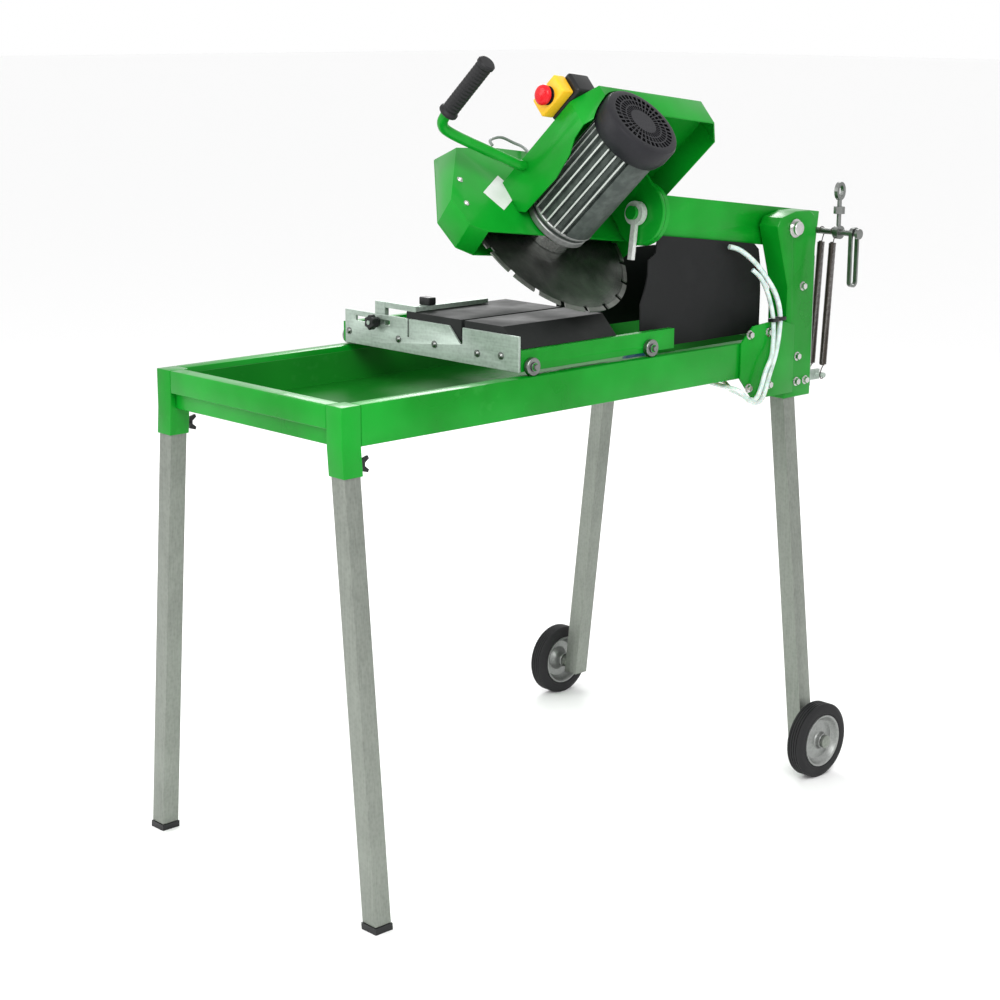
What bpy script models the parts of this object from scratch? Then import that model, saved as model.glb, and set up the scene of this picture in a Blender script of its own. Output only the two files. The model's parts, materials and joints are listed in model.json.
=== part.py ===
# Sliding-table tile cutter on a wheeled stand. Metres; X runs to the rear, Y to the far side, Z up.
# Places are counted from the stand's front near corner at floor level, and the empty
# "frame_origin" then moves that corner so that the whole machine is centred on X and Y.
import bmesh
import bpy
from math import cos, pi, radians, sin
from mathutils import Vector

GAP = 0.0003
RUNNING = 0.0001

STAND_LENGTH = 1.155
STAND_WIDTH = 0.510
RAIL_TOP = 0.878
RAIL_HEIGHT = 0.068
RAIL_WIDTH = 0.030
RAIL_WALL = 0.0025
CROSS_LIP = 0.040
POST_SIDE = 0.040
POST_HEIGHT = 0.116
LEG_SIDE = 0.034
LEG_WALL = 0.002
LEG_CLEARANCE = 0.0005
FRONT_SPLAY = 0.088
REAR_SPLAY = 0.114
FOOT_HEIGHT = 0.012
FOOT_LIP = 0.0015
SCREW_RADIUS = 0.004

WHEEL_RADIUS = 0.0755
WHEEL_WIDTH = 0.036
TYRE_DEPTH = 0.023
AXLE_RADIUS = 0.008
HUB_HALF = 0.020
WHEEL_GAP = 0.010
LEG_END_ABOVE_FLOOR = 0.053

COLUMN_WIDTH = 0.081
COLUMN_DEPTH = 0.048
COLUMN_WALL = 0.003
COLUMN_DROP = 0.124
COLUMN_RISE = 0.240
COLUMN_FLARE = 0.037

TRAY_DEPTH = 0.058
TRAY_WALL = 0.002
TRAY_SPACE = 0.0015

DECK_LENGTH = 0.2495
DECK_FRONT = 0.4105
DECK_NEAR = 0.012
DECK_WIDTH = 0.302
DECK_THICKNESS = 0.037
DECK_SLOT_WIDTH = 0.008
DECK_SLOT_DEPTH = 0.030
MITRE_INSET = 0.0125
FENCE_THICKNESS = 0.005
FENCE_NEAR = 0.016
FENCE_WIDTH = 0.466
FENCE_HEIGHT = 0.063
CART_LENGTH = 0.400
CHANNEL_WIDTH = 0.014
CHANNEL_HEIGHT = 0.037
CART_WHEEL_RADIUS = 0.016
CART_WHEEL_WIDTH = 0.010
CART_WHEEL_INSET = (0.027, 0.330)
STUB_RADIUS = 0.0045
STOP_LENGTH = 0.180
KNOB_RADIUS = 0.014
STUD_REACH = 0.029

BEAM_HEIGHT = 0.075
BEAM_WIDTH = 0.040
BEAM_WALL = 0.003
BEAM_FRONT = 0.350
BEAM_TAIL = 0.137
CROSSBAR_INSET = 0.023
BEAM_PITCH = radians(7.1)
PIVOT_RADIUS = 0.008
PIVOT_SIDES = 36
PIVOT_BACK = 0.015
PIVOT_HEIGHT = 1.0863
BEAM_FROM_COLUMN = 0.004
FLANGE_RADIUS = 0.058
FLANGE_THICKNESS = 0.0097
SPIGOT_RADIUS = 0.0125
CROSSBAR_RADIUS = 0.006
SPRING_RADIUS = 0.0075

HEAD_REACH = 0.511
HEAD_TILT = radians(45)
BLADE_RADIUS = 0.180
BLADE_THICKNESS = 0.003
BLADE_OFFSET = 0.091
BLADE_RISE = 0.0175
BLADE_SHIFT = -0.016
BLADE_SLOTS = 20
SHAFT_RADIUS = 0.010
CLAMP_RADIUS = 0.047
CLAMP_THICKNESS = 0.0077
HUB_THICKNESS = 0.022
GUARD_NEAR = 0.060
GUARD_DEPTH = 0.060
GUARD_WALL = 0.002
MOTOR_RADIUS = 0.066
MOTOR_FIN = 0.007
MOTOR_LENGTH = 0.2345
COWL_RADIUS = 0.075
COWL_LENGTH = 0.0475
COWL_WALL = 0.002
HOOD_FRONT = -0.100
HOOD_REAR = 0.250
HOOD_OUTER = -0.195
HOOD_TOP = 0.103
HOOD_FLANGE = 0.053
HOOD_WALL = 0.003
HANDLE_RADIUS = 0.0095
GRIP_RADIUS = 0.0145
GRIP_LENGTH = 0.122
BUTTON_RADIUS = 0.018
BUTTON_TRAVEL = 0.005

CENTRE_X = 0.6353
CENTRE_Y = 0.2588

POST_FOOT = RAIL_TOP - RAIL_HEIGHT
SOCKET_FOOT = RAIL_TOP - POST_HEIGHT
REAR_X = STAND_LENGTH - POST_SIDE
REAR_LEG_X = REAR_X + COLUMN_WALL + 0.0005
NEAR_LEG_Y = COLUMN_WALL + LEG_SIDE / 2 + 0.0075
FAR_LEG_Y = STAND_WIDTH - POST_SIDE / 2
PIVOT_X = REAR_X + PIVOT_BACK
BEAM_Y = COLUMN_DEPTH + BEAM_FROM_COLUMN + BEAM_WIDTH / 2
CHANNEL_FOOT = RAIL_TOP + 0.008
DECK_FOOT = CHANNEL_FOOT + CHANNEL_HEIGHT + GAP
DECK_TOP = DECK_FOOT + DECK_THICKNESS
FENCE_X = DECK_FRONT - GAP - FENCE_THICKNESS

GREEN = ("paint_green", (0.02, 0.50, 0.07), 0.35, 0.0)
ZINC = ("zinc_plate", (0.62, 0.64, 0.63), 0.38, 1.0)
LEG_STEEL = ("leg_steel", (0.55, 0.56, 0.55), 0.42, 1.0)
BRIGHT = ("bright_steel", (0.72, 0.72, 0.72), 0.25, 1.0)
BLACK_RUBBER = ("black_rubber", (0.02, 0.02, 0.02), 0.75, 0.0)
BLACK_PLASTIC = ("black_plastic", (0.03, 0.03, 0.03), 0.45, 0.0)
DECK_BLACK = ("deck_black", (0.035, 0.04, 0.04), 0.6, 0.0)
MOTOR_GREY = ("motor_grey", (0.16, 0.18, 0.18), 0.4, 0.8)
BLADE_STEEL = ("blade_steel", (0.10, 0.11, 0.10), 0.35, 1.0)
YELLOW = ("switch_yellow", (0.95, 0.70, 0.02), 0.4, 0.0)
RED = ("button_red", (0.75, 0.02, 0.03), 0.35, 0.0)
HOSE_CLEAR = ("hose_clear", (0.75, 0.82, 0.80), 0.25, 0.0)
PUMP_BLUE = ("pump_blue", (0.05, 0.25, 0.45), 0.4, 0.0)
RIM_GREY = ("rim_grey", (0.45, 0.46, 0.45), 0.45, 0.9)


def clear_scene():
    for obj in list(bpy.data.objects):
        bpy.data.objects.remove(obj, do_unlink=True)


def material(finish):
    name, colour, roughness, metallic = finish
    found = bpy.data.materials.get(name)
    if found:
        return found
    made = bpy.data.materials.new(name)
    made.use_nodes = True
    shader = made.node_tree.nodes["Principled BSDF"]
    shader.inputs["Base Color"].default_value = (*colour, 1)
    shader.inputs["Roughness"].default_value = roughness
    shader.inputs["Metallic"].default_value = metallic
    return made


def empty(name, place=(0, 0, 0), turn=(0, 0, 0), parent=None):
    obj = bpy.data.objects.new(name, None)
    bpy.context.scene.collection.objects.link(obj)
    obj.location = place
    obj.rotation_euler = turn
    obj.parent = parent
    return obj


def put(name, bm, finish, parent, place=(0, 0, 0), turn=(0, 0, 0), bevel=0.0):
    bmesh.ops.recalc_face_normals(bm, faces=bm.faces[:])
    mesh = bpy.data.meshes.new(name)
    bm.to_mesh(mesh)
    bm.free()
    mesh.shade_smooth()
    mesh.set_sharp_from_angle(angle=radians(35))
    obj = bpy.data.objects.new(name, mesh)
    bpy.context.scene.collection.objects.link(obj)
    obj.location = place
    obj.rotation_euler = turn
    obj.parent = parent
    mesh.materials.append(material(finish))
    if bevel:
        edge = obj.modifiers.new("edge", "BEVEL")
        edge.width = bevel
        edge.segments = 1
        edge.limit_method = "ANGLE"
        edge.angle_limit = radians(50)
    return obj


def combine(obj, operation, bm, place=(0, 0, 0), turn=(0, 0, 0)):
    helper = put(f"{obj.name}_{operation.lower()}_{len(obj.modifiers)}", bm, ZINC, obj.parent, place, turn)
    helper.hide_render = True
    helper.display_type = "WIRE"
    step = obj.modifiers.new(operation.lower(), "BOOLEAN")
    step.operation = operation
    step.object = helper
    step.solver = "EXACT"
    return obj


def cut(obj, bm, place=(0, 0, 0), turn=(0, 0, 0)):
    return combine(obj, "DIFFERENCE", bm, place, turn)


def join(obj, bm, place=(0, 0, 0), turn=(0, 0, 0)):
    return combine(obj, "UNION", bm, place, turn)


def skin(rings, loop=False, bm=None):
    # Quads between successive rings; the ends are capped, or joined to each other in a loop.
    bm = bm or bmesh.new()
    made = [[bm.verts.new(point) for point in ring] for ring in rings]
    pairs = list(zip(made, made[1:]))
    if loop:
        pairs.append((made[-1], made[0]))
    for low, high in pairs:
        for i in range(len(low)):
            j = (i + 1) % len(low)
            bm.faces.new((low[i], low[j], high[j], high[i]))
    if not loop:
        bm.faces.new(made[0][::-1])
        bm.faces.new(made[-1])
    return bm


def lifted(outline, axis, level):
    if axis == "x":
        return [(level, a, b) for a, b in outline]
    if axis == "y":
        return [(a, level, b) for a, b in outline]
    return [(a, b, level) for a, b in outline]


def prism(outline, axis, low, high, bm=None):
    return skin([lifted(outline, axis, low), lifted(outline, axis, high)], bm=bm)


def rect(x0, x1, y0, y1):
    return [(x0, y0), (x1, y0), (x1, y1), (x0, y1)]


def block(x0, x1, y0, y1, z0, z1, bm=None):
    return prism(rect(x0, x1, y0, y1), "z", z0, z1, bm)


def square(x, y, side, z):
    half = side / 2
    return lifted(rect(x - half, x + half, y - half, y + half), "z", z)


def hollow(outer, inner, axis, low, high):
    levels = (lifted(outer, axis, low), lifted(outer, axis, high), lifted(inner, axis, high), lifted(inner, axis, low))
    return skin(levels, loop=True)


def circle(radius, segments=24, centre=(0, 0)):
    steps = [2 * pi * i / segments for i in range(segments)]
    return [(centre[0] + radius * cos(a), centre[1] + radius * sin(a)) for a in steps]


def turned(profile, segments=24):
    # Revolves a closed (radius, height) profile about Z.
    bm = bmesh.new()
    columns = []
    for i in range(segments):
        a = 2 * pi * i / segments
        columns.append([None if r == 0 else bm.verts.new((r * cos(a), r * sin(a), h)) for r, h in profile])
    poles = [bm.verts.new((0, 0, h)) if r == 0 else None for r, h in profile]
    for i in range(segments):
        here, there = columns[i], columns[(i + 1) % segments]
        for k in range(len(profile)):
            m = (k + 1) % len(profile)
            corners = [here[k] or poles[k], here[m] or poles[m], there[m] or poles[m], there[k] or poles[k]]
            corners = list(dict.fromkeys(corners))
            if len(corners) > 2:
                bm.faces.new(corners)
    return bm


def rod(radius, low, high, segments=20):
    return turned([(0, low), (radius, low), (radius, high), (0, high)], segments)


def along(axis):
    # The turn that lays an object's own Z along a world axis.
    return {"x": (0, pi / 2, 0), "y": (-pi / 2, 0, 0), "-y": (pi / 2, 0, 0), "z": (0, 0, 0)}[axis]


def sweep(name, points, radius, finish, parent, resolution=2):
    curve = bpy.data.curves.new(name, "CURVE")
    curve.dimensions = "3D"
    curve.bevel_depth = radius
    curve.bevel_resolution = resolution
    curve.use_fill_caps = True
    line = curve.splines.new("POLY")
    line.points.add(len(points) - 1)
    for spot, point in zip(line.points, points):
        spot.co = (*point, 1)
    obj = bpy.data.objects.new(name, curve)
    bpy.context.scene.collection.objects.link(obj)
    obj.parent = parent
    curve.materials.append(material(finish))
    return obj


def rounded(points, steps=4):
    # A smooth path through hand-chosen points.
    ends = [points[0], *points, points[-1]]
    path = []
    for i in range(len(points) - 1):
        a, b, c, d = (Vector(p) for p in ends[i:i + 4])
        for k in range(steps):
            t = k / steps
            path.append(0.5 * ((2 * b) + (c - a) * t + (2 * a - 5 * b + 4 * c - d) * t * t
                               + (3 * b - a - 3 * c + d) * t ** 3))
    path.append(Vector(points[-1]))
    return path


def make_rails(stand):
    near = ((0, RAIL_WIDTH), "near_rail")
    far = ((STAND_WIDTH - RAIL_WIDTH, STAND_WIDTH), "far_rail")
    for (y0, y1), name in (near, far):
        outer = rect(y0, y1, POST_FOOT, RAIL_TOP)
        inner = rect(y0 + RAIL_WALL, y1 - RAIL_WALL, POST_FOOT + RAIL_WALL, RAIL_TOP - RAIL_WALL)
        bm = hollow(outer, inner, "x", POST_SIDE + GAP, REAR_X - GAP)
        put(name, bm, GREEN, stand)
    lip = RAIL_TOP - CROSS_LIP
    step = POST_SIDE / 4
    shape = [(0, lip), (0, RAIL_TOP), (RAIL_WIDTH, RAIL_TOP), (RAIL_WIDTH, POST_FOOT), (step, POST_FOOT), (step, lip)]
    front = prism(shape, "y", POST_SIDE + GAP, STAND_WIDTH - POST_SIDE - GAP)
    put("front_rail", front, GREEN, stand, bevel=0.0015)
    outer = rect(REAR_X + 0.003, REAR_X + 0.003 + RAIL_WIDTH, POST_FOOT, RAIL_TOP)
    inner = rect(REAR_X + 0.003 + RAIL_WALL, REAR_X + 0.003 + RAIL_WIDTH - RAIL_WALL,
                 POST_FOOT + RAIL_WALL, RAIL_TOP - RAIL_WALL)
    rear = hollow(outer, inner, "y", COLUMN_DEPTH + GAP, STAND_WIDTH - POST_SIDE - GAP)
    put("rear_rail", rear, GREEN, stand)


def splayed(z, splay, side):
    return side * splay * (POST_FOOT - z)


def make_post(name, stand, x, y, splay, side):
    inside = LEG_SIDE + 2 * LEG_CLEARANCE
    slide = splayed(SOCKET_FOOT, splay, side)
    rings = [
        square(x, y, inside, POST_FOOT),
        square(x, y + slide, inside, SOCKET_FOOT),
        square(x, y + slide, POST_SIDE, SOCKET_FOOT),
        square(x, y, POST_SIDE, POST_FOOT),
        square(x, y, POST_SIDE, RAIL_TOP),
    ]
    return put(name, skin(rings), GREEN, stand, bevel=0.001)


def make_leg(name, stand, x, y, splay, side, foot):
    rings = []
    top = POST_FOOT - 0.002
    for width, z in ((LEG_SIDE, foot), (LEG_SIDE, top), (LEG_SIDE - 2 * LEG_WALL, top),
                     (LEG_SIDE - 2 * LEG_WALL, foot)):
        rings.append(square(x, y + splayed(z, splay, side), width, z))
    return put(name, skin(rings, loop=True), LEG_STEEL, stand)


def make_foot(name, stand, x, y, splay, side):
    rings = []
    plug = LEG_SIDE - 2 * LEG_WALL - 0.001
    cap = FOOT_HEIGHT - GAP
    for width, z in ((LEG_SIDE + 2 * FOOT_LIP, 0), (LEG_SIDE + 2 * FOOT_LIP, cap), (plug, cap),
                     (plug, FOOT_HEIGHT + 0.015)):
        rings.append(square(x, y + splayed(z, splay, side), width, z))
    put(name, skin(rings), BLACK_PLASTIC, stand)


def make_leg_screw(name, stand, post, x, y, z):
    hole = rod(SCREW_RADIUS + 0.0004, -0.008, 0.008)
    cut(post, hole, (x, y, z), along("x"))
    holder = empty(f"{name}_axis", (x, y, z), (0, 0, 0), stand)
    start = -(POST_SIDE - LEG_SIDE) / 2 + GAP
    bm = turned([(0, start), (SCREW_RADIUS, start), (SCREW_RADIUS, 0.004), (0.007, 0.004), (0.007, 0.012), (0, 0.012)], 16)
    screw = put(name, bm, BRIGHT, holder, turn=along("x"))
    wing = [(0.010, -0.003), (0.010, 0.003), (0.015, 0.011), (0.026, 0.014), (0.028, 0.009), (0.020, 0.003),
            (0.020, -0.003), (0.028, -0.009), (0.026, -0.014), (0.015, -0.011)]
    join(screw, prism(wing, "y", -0.002, 0.002))


def make_stand(stand):
    make_rails(stand)
    mid = POST_SIDE / 2
    screw_z = SOCKET_FOOT + 0.014
    front = (("front_near", mid, -1), ("front_far", STAND_WIDTH - mid, 1))
    for name, y, side in front:
        post = make_post(f"{name}_post", stand, mid, y, FRONT_SPLAY, side)
        make_leg(f"{name}_leg", stand, mid, y, FRONT_SPLAY, side, FOOT_HEIGHT)
        make_foot(f"{name}_foot", stand, mid, y, FRONT_SPLAY, side)
        screw_y = y + splayed(screw_z, FRONT_SPLAY, side)
        make_leg_screw(f"{name}_screw", stand, post, POST_SIDE, screw_y, screw_z)
    x = REAR_LEG_X + LEG_SIDE / 2
    make_post("rear_far_post", stand, REAR_X + mid, FAR_LEG_Y, REAR_SPLAY, 1)
    rear = (("rear_near", x, NEAR_LEG_Y, -1), ("rear_far", REAR_X + mid, FAR_LEG_Y, 1))
    for name, x, y, side in rear:
        leg = make_leg(f"{name}_leg", stand, x, y, REAR_SPLAY, side, LEG_END_ABOVE_FLOOR)
        make_wheel(name.split("_")[1], stand, leg, x - 0.008, y, side)


def make_wheel(name, stand, leg, x, y, side):
    # The axle stub is welded through the leg, and its head holds the wheel on.
    face = LEG_SIDE / 2
    hub_in = face + WHEEL_GAP
    hub_out = hub_in + 2 * HUB_HALF
    centre = y + splayed(WHEEL_RADIUS, REAR_SPLAY, side)
    profile = [(0, 0), (AXLE_RADIUS, 0), (AXLE_RADIUS, hub_out + 0.0005), (0.0135, hub_out + 0.0005),
               (0.0135, hub_out + 0.006), (0.006, hub_out + 0.010), (0, hub_out + 0.010)]
    outward = along("y") if side > 0 else along("-y")
    join(leg, turned(profile, 20), (x, centre, WHEEL_RADIUS), outward)
    collar = [(AXLE_RADIUS - 0.001, face - 0.001), (0.012, face - 0.001), (0.012, hub_in - 0.0005),
              (AXLE_RADIUS - 0.001, hub_in - 0.0005)]
    join(leg, turned(collar, 20), (x, centre, WHEEL_RADIUS), outward)
    axle = empty(f"{name}_wheel_axis", (x, centre + side * (hub_in + HUB_HALF), WHEEL_RADIUS), outward, stand)
    bore = AXLE_RADIUS + RUNNING
    rim = WHEEL_RADIUS - TYRE_DEPTH
    half = WHEEL_WIDTH / 2
    disc = [(bore, -HUB_HALF), (bore, HUB_HALF), (0.016, HUB_HALF), (0.018, 0.012), (rim - 0.013, 0.007),
            (rim - 0.005, half - 0.003), (rim, half - 0.002), (rim, 0.002 - half), (rim - 0.005, 0.003 - half),
            (rim - 0.013, -0.003), (0.018, -0.006), (0.016, -HUB_HALF)]
    put(f"{name}_rim", turned(disc, 24), RIM_GREY, axle)
    seat = rim + GAP
    ring = [(seat, 0.0025 - half), (seat, half - 0.0025), (seat + 0.006, half), (WHEEL_RADIUS - 0.008, half),
            (WHEEL_RADIUS, half - 0.007), (WHEEL_RADIUS, 0.007 - half), (WHEEL_RADIUS - 0.008, -half),
            (seat + 0.006, -half)]
    put(f"{name}_tyre", turned(ring, 32), BLACK_RUBBER, axle)


def make_column(stand):
    foot, top, rear = RAIL_TOP - COLUMN_DROP, RAIL_TOP + COLUMN_RISE, REAR_X + COLUMN_WIDTH
    flare = top - 0.143
    outline = [(REAR_X, foot), (REAR_X, flare), (REAR_X - COLUMN_FLARE, top - 0.026),
               (REAR_X - COLUMN_FLARE + 0.012, top - 0.010), (REAR_X + 0.018, top), (rear - 0.020, top),
               (rear - 0.006, top - 0.010), (rear, top - 0.030), (rear, foot)]
    column = put("column", prism(outline, "y", 0, COLUMN_DEPTH), GREEN, stand, bevel=0.002)
    wall = COLUMN_WALL
    cavity = block(REAR_X + wall, rear - wall, wall, COLUMN_DEPTH - wall, foot - 0.02, RAIL_TOP + 0.140)
    cut(column, cavity)
    cut(column, rod(PIVOT_RADIUS + RUNNING, -0.01, COLUMN_DEPTH + 0.01, PIVOT_SIDES), (PIVOT_X, 0, PIVOT_HEIGHT), along("y"))
    plate = [(REAR_X + 0.020, foot + 0.012), (REAR_X + 0.020, RAIL_TOP + 0.020), (REAR_X - 0.030, RAIL_TOP + 0.036),
             (REAR_X - 0.105, RAIL_TOP + 0.030), (REAR_X - 0.140, RAIL_TOP), (REAR_X - 0.140, POST_FOOT),
             (REAR_X - 0.105, foot + 0.016), (REAR_X - 0.060, foot + 0.012)]
    join(column, prism(plate, "y", -0.004, -GAP))
    join(column, block(REAR_X + 0.002, REAR_X + 0.018, -0.002, 0.001, foot + 0.020, RAIL_TOP + 0.010))
    end = BEAM_Y + BEAM_WIDTH / 2
    bolt = [(0, -0.0125), (0.012, -0.0125), (0.0135, -0.011), (0.0135, -0.0025), (0.018, -0.0025), (0.018, -GAP),
            (PIVOT_RADIUS, -GAP), (PIVOT_RADIUS, end + GAP), (0.017, end + GAP), (0.017, end + 0.0025),
            (0.0135, end + 0.0025), (0.0135, end + 0.012), (0, end + 0.014)]
    put("pivot_bolt", turned(bolt, PIVOT_SIDES), BRIGHT, stand, (PIVOT_X, 0, PIVOT_HEIGHT), along("y"))


def make_spring_plate(stand, pin_x, pin_z):
    face = REAR_X + COLUMN_WIDTH + GAP
    plate = put("spring_plate", block(face, face + 0.004, 0.003, 0.045, pin_z - 0.020, RAIL_TOP + 0.150), ZINC, stand,
                bevel=0.0006)
    for z in (pin_z + 0.055, pin_z + 0.115, pin_z + 0.175):
        cut(plate, block(face - 0.01, face + 0.01, 0.019, 0.029, z - 0.018, z + 0.018))
    join(plate, block(face + 0.002, pin_x + 0.008, 0.006, 0.012, pin_z - 0.010, pin_z + 0.010))
    join(plate, rod(0.005, -0.012, 0.036, 16), (pin_x, 0, pin_z), along("y"))


def make_tray(stand):
    x0, x1 = RAIL_WIDTH + TRAY_SPACE, REAR_X - TRAY_SPACE
    y0, y1 = RAIL_WIDTH + TRAY_SPACE, STAND_WIDTH - RAIL_WIDTH - TRAY_SPACE
    x0 = POST_SIDE + TRAY_SPACE
    foot, wall = POST_FOOT + 0.001, TRAY_WALL
    outer, inner = rect(x0, x1, y0, y1), rect(x0 + wall, x1 - wall, y0 + wall, y1 - wall)
    bm = skin([lifted(outer, "z", foot), lifted(outer, "z", foot + TRAY_DEPTH),
               lifted(inner, "z", foot + TRAY_DEPTH), lifted(inner, "z", foot + wall)])
    put("water_tray", bm, GREEN, stand)
    body = [(0, 0), (0.034, 0), (0.034, 0.030), (0.028, 0.040), (0.012, 0.042), (0.010, 0.056), (0, 0.056)]
    put("water_pump", turned(body, 20), PUMP_BLUE, stand, (0.860, 0.150, foot + wall + GAP))


def make_hoses(stand):
    side, under = -0.0125, POST_FOOT - 0.0065
    water = [(1.000, 0.085, under), (0.985, 0.045, 0.797), (0.968, 0.012, 0.789), (0.968, -0.010, 0.784),
             (0.982, side, 0.775), (1.003, side, 0.764), (1.022, side, 0.762), (1.037, side, 0.775),
             (1.050, side, 0.808), (1.067, side, 0.847), (1.076, side, 0.885), (1.081, -0.010, 0.926),
             (1.077, -0.001, 0.963), (1.060, 0.010, 0.996), (1.036, 0.020, 1.026), (1.005, 0.030, 1.050),
             (0.980, 0.037, 1.0585)]
    sweep("water_hose", rounded(water, 2), 0.005, HOSE_CLEAR, stand)
    low = -0.0235
    drain = [(0.968, 0.100, under), (0.960, 0.050, 0.797), (0.952, 0.012, 0.796), (0.948, -0.012, 0.796),
             (0.955, low, 0.790), (0.978, low, 0.771), (0.996, low, 0.771), (1.010, low, 0.784),
             (1.025, low, 0.820), (1.041, low, 0.846), (1.054, -0.0165, 0.868), (1.060, side, 0.893),
             (1.058, -0.0115, 0.920), (1.059, -0.005, 0.943), (1.056, 0.004, 0.971), (1.046, 0.012, 0.996),
             (1.030, 0.020, 1.012)]
    sweep("return_hose", rounded(drain, 2), 0.0045, HOSE_CLEAR, stand)


def make_curtain(stand, pivot_z):
    y0, y1, thick = 0.046, 0.300, 0.003
    low = RAIL_TOP + 0.007

    def under_beam(x):
        return pivot_z + (PIVOT_X - x) * sin(BEAM_PITCH) / cos(BEAM_PITCH) - BEAM_HEIGHT / 2 / cos(BEAM_PITCH) - 0.008

    back = REAR_X - 0.030
    front = PIVOT_X - 0.388
    side = [(front + 0.002, low), (front, low + 0.085), (front + 0.018, low + 0.125), (front + 0.022, 1.052),
            (front + 0.050, 1.062), (front + 0.064, under_beam(front + 0.064)), (back, under_beam(back)), (back, low)]
    curtain = put("splash_curtain", prism(side, "y", y0, y0 + thick), BLACK_RUBBER, stand)
    join(curtain, block(back - thick, back, y0 + 0.001, y1, low, under_beam(back) - 0.001))
    far = [(front + 0.038, low + 0.002), (front + 0.038, 0.985), (front + 0.088, 1.035), (back - 0.001, 1.035), (back - 0.001, low + 0.002)]
    join(curtain, prism(far, "y", y1 - thick, y1))


def make_cart(root):
    cart = empty("cart_frame_axis", (0, 0, 0), (0, 0, 0), root)
    x0, x1 = FENCE_X, FENCE_X + CART_LENGTH
    foot, top = CHANNEL_FOOT, CHANNEL_FOOT + CHANNEL_HEIGHT
    near = 0.016
    far = STAND_WIDTH - near - CHANNEL_WIDTH
    frame = put("cart_frame", block(x0 + 0.006, x1, near, near + CHANNEL_WIDTH, foot, top), GREEN, cart)
    join(frame, block(x0 + 0.006, x1, far, far + CHANNEL_WIDTH, foot, top))
    for x in (x0 + 0.030, x0 + 0.225):
        join(frame, block(x, x + 0.030, near + 0.002, far + 0.002, foot + 0.012, top - 0.004))
    axle_z = RAIL_TOP + CART_WHEEL_RADIUS + GAP
    for place, x in zip(("front", "rear"), (x0 + d for d in CART_WHEEL_INSET)):
        for name, face, side in (("near", near, -1), ("far", far + CHANNEL_WIDTH, 1)):
            outward = along("y") if side > 0 else along("-y")
            make_cart_wheel(f"{place}_{name}_roller", frame, cart, x, face, axle_z, outward, side)
    make_deck(cart)
    make_fence(cart)
    make_stop(cart)


def make_cart_wheel(name, frame, cart, x, face, z, outward, side):
    reach = CART_WHEEL_WIDTH + 0.002
    stub = [(0, -0.004), (STUB_RADIUS, -0.004), (STUB_RADIUS, reach), (0.007, reach), (0.007, reach + 0.002), (0, reach + 0.002)]
    join(frame, turned(stub, 16), (x, face, z), outward)
    axle = empty(f"{name}_axis", (x, face + side * (0.001 + CART_WHEEL_WIDTH / 2), z), outward, cart)
    half, bore = CART_WHEEL_WIDTH / 2, STUB_RADIUS + RUNNING
    ring = [(bore, -half), (bore, half), (CART_WHEEL_RADIUS - 0.001, half), (CART_WHEEL_RADIUS, half - 0.001),
            (CART_WHEEL_RADIUS, 0.001 - half), (CART_WHEEL_RADIUS - 0.001, -half)]
    put(name, turned(ring, 20), BRIGHT, axle)


def make_deck(cart):
    x0, x1 = DECK_FRONT, DECK_FRONT + DECK_LENGTH
    bm = block(x0, x1, DECK_NEAR, DECK_NEAR + DECK_WIDTH, DECK_FOOT, DECK_TOP)
    deck = put("deck", bm, DECK_BLACK, cart)
    kerf = BEAM_Y + BLADE_OFFSET
    half = DECK_SLOT_WIDTH / 2
    cut(deck, block(x0 - 0.01, x1 + 0.01, kerf - half, kerf + half, DECK_TOP - DECK_SLOT_DEPTH, DECK_TOP + 0.01))
    # The near edge slopes at the tilted blade's own angle, so that the blade passes clear of it.
    foot = DECK_NEAR + MITRE_INSET
    slope = DECK_THICKNESS * sin(HEAD_TILT) / cos(HEAD_TILT)
    spare = 0.01
    wedge = [(DECK_NEAR - spare, DECK_FOOT - spare), (foot - spare, DECK_FOOT - spare),
             (foot + slope + spare, DECK_TOP + spare), (DECK_NEAR - spare, DECK_TOP + spare)]
    cut(deck, prism(wedge, "x", x0 - spare, x1 + spare))


def make_fence(cart):
    top = CHANNEL_FOOT + FENCE_HEIGHT - 0.001
    low = top - FENCE_HEIGHT
    y0, y1 = FENCE_NEAR, FENCE_NEAR + FENCE_WIDTH
    kerf = BEAM_Y + BLADE_OFFSET
    notch = kerf - 0.004
    outline = [(y0, low), (y0, top), (notch, top), (notch, top - 0.030), (notch + 0.006, top - 0.030),
               (notch + 0.036, top), (y1, top), (y1, low)]
    fence = put("fence", prism(outline, "x", FENCE_X, FENCE_X + FENCE_THICKNESS), ZINC, cart)
    cut(fence, block(FENCE_X - 0.01, FENCE_X + 0.01, 0.3015, 0.3065, top - 0.034, top + 0.01))
    slot_z = top - 0.014
    cut(fence, block(FENCE_X - 0.01, FENCE_X + 0.01, 0.355, 0.450, slot_z - 0.0046, slot_z + 0.0046))
    return slot_z


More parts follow.
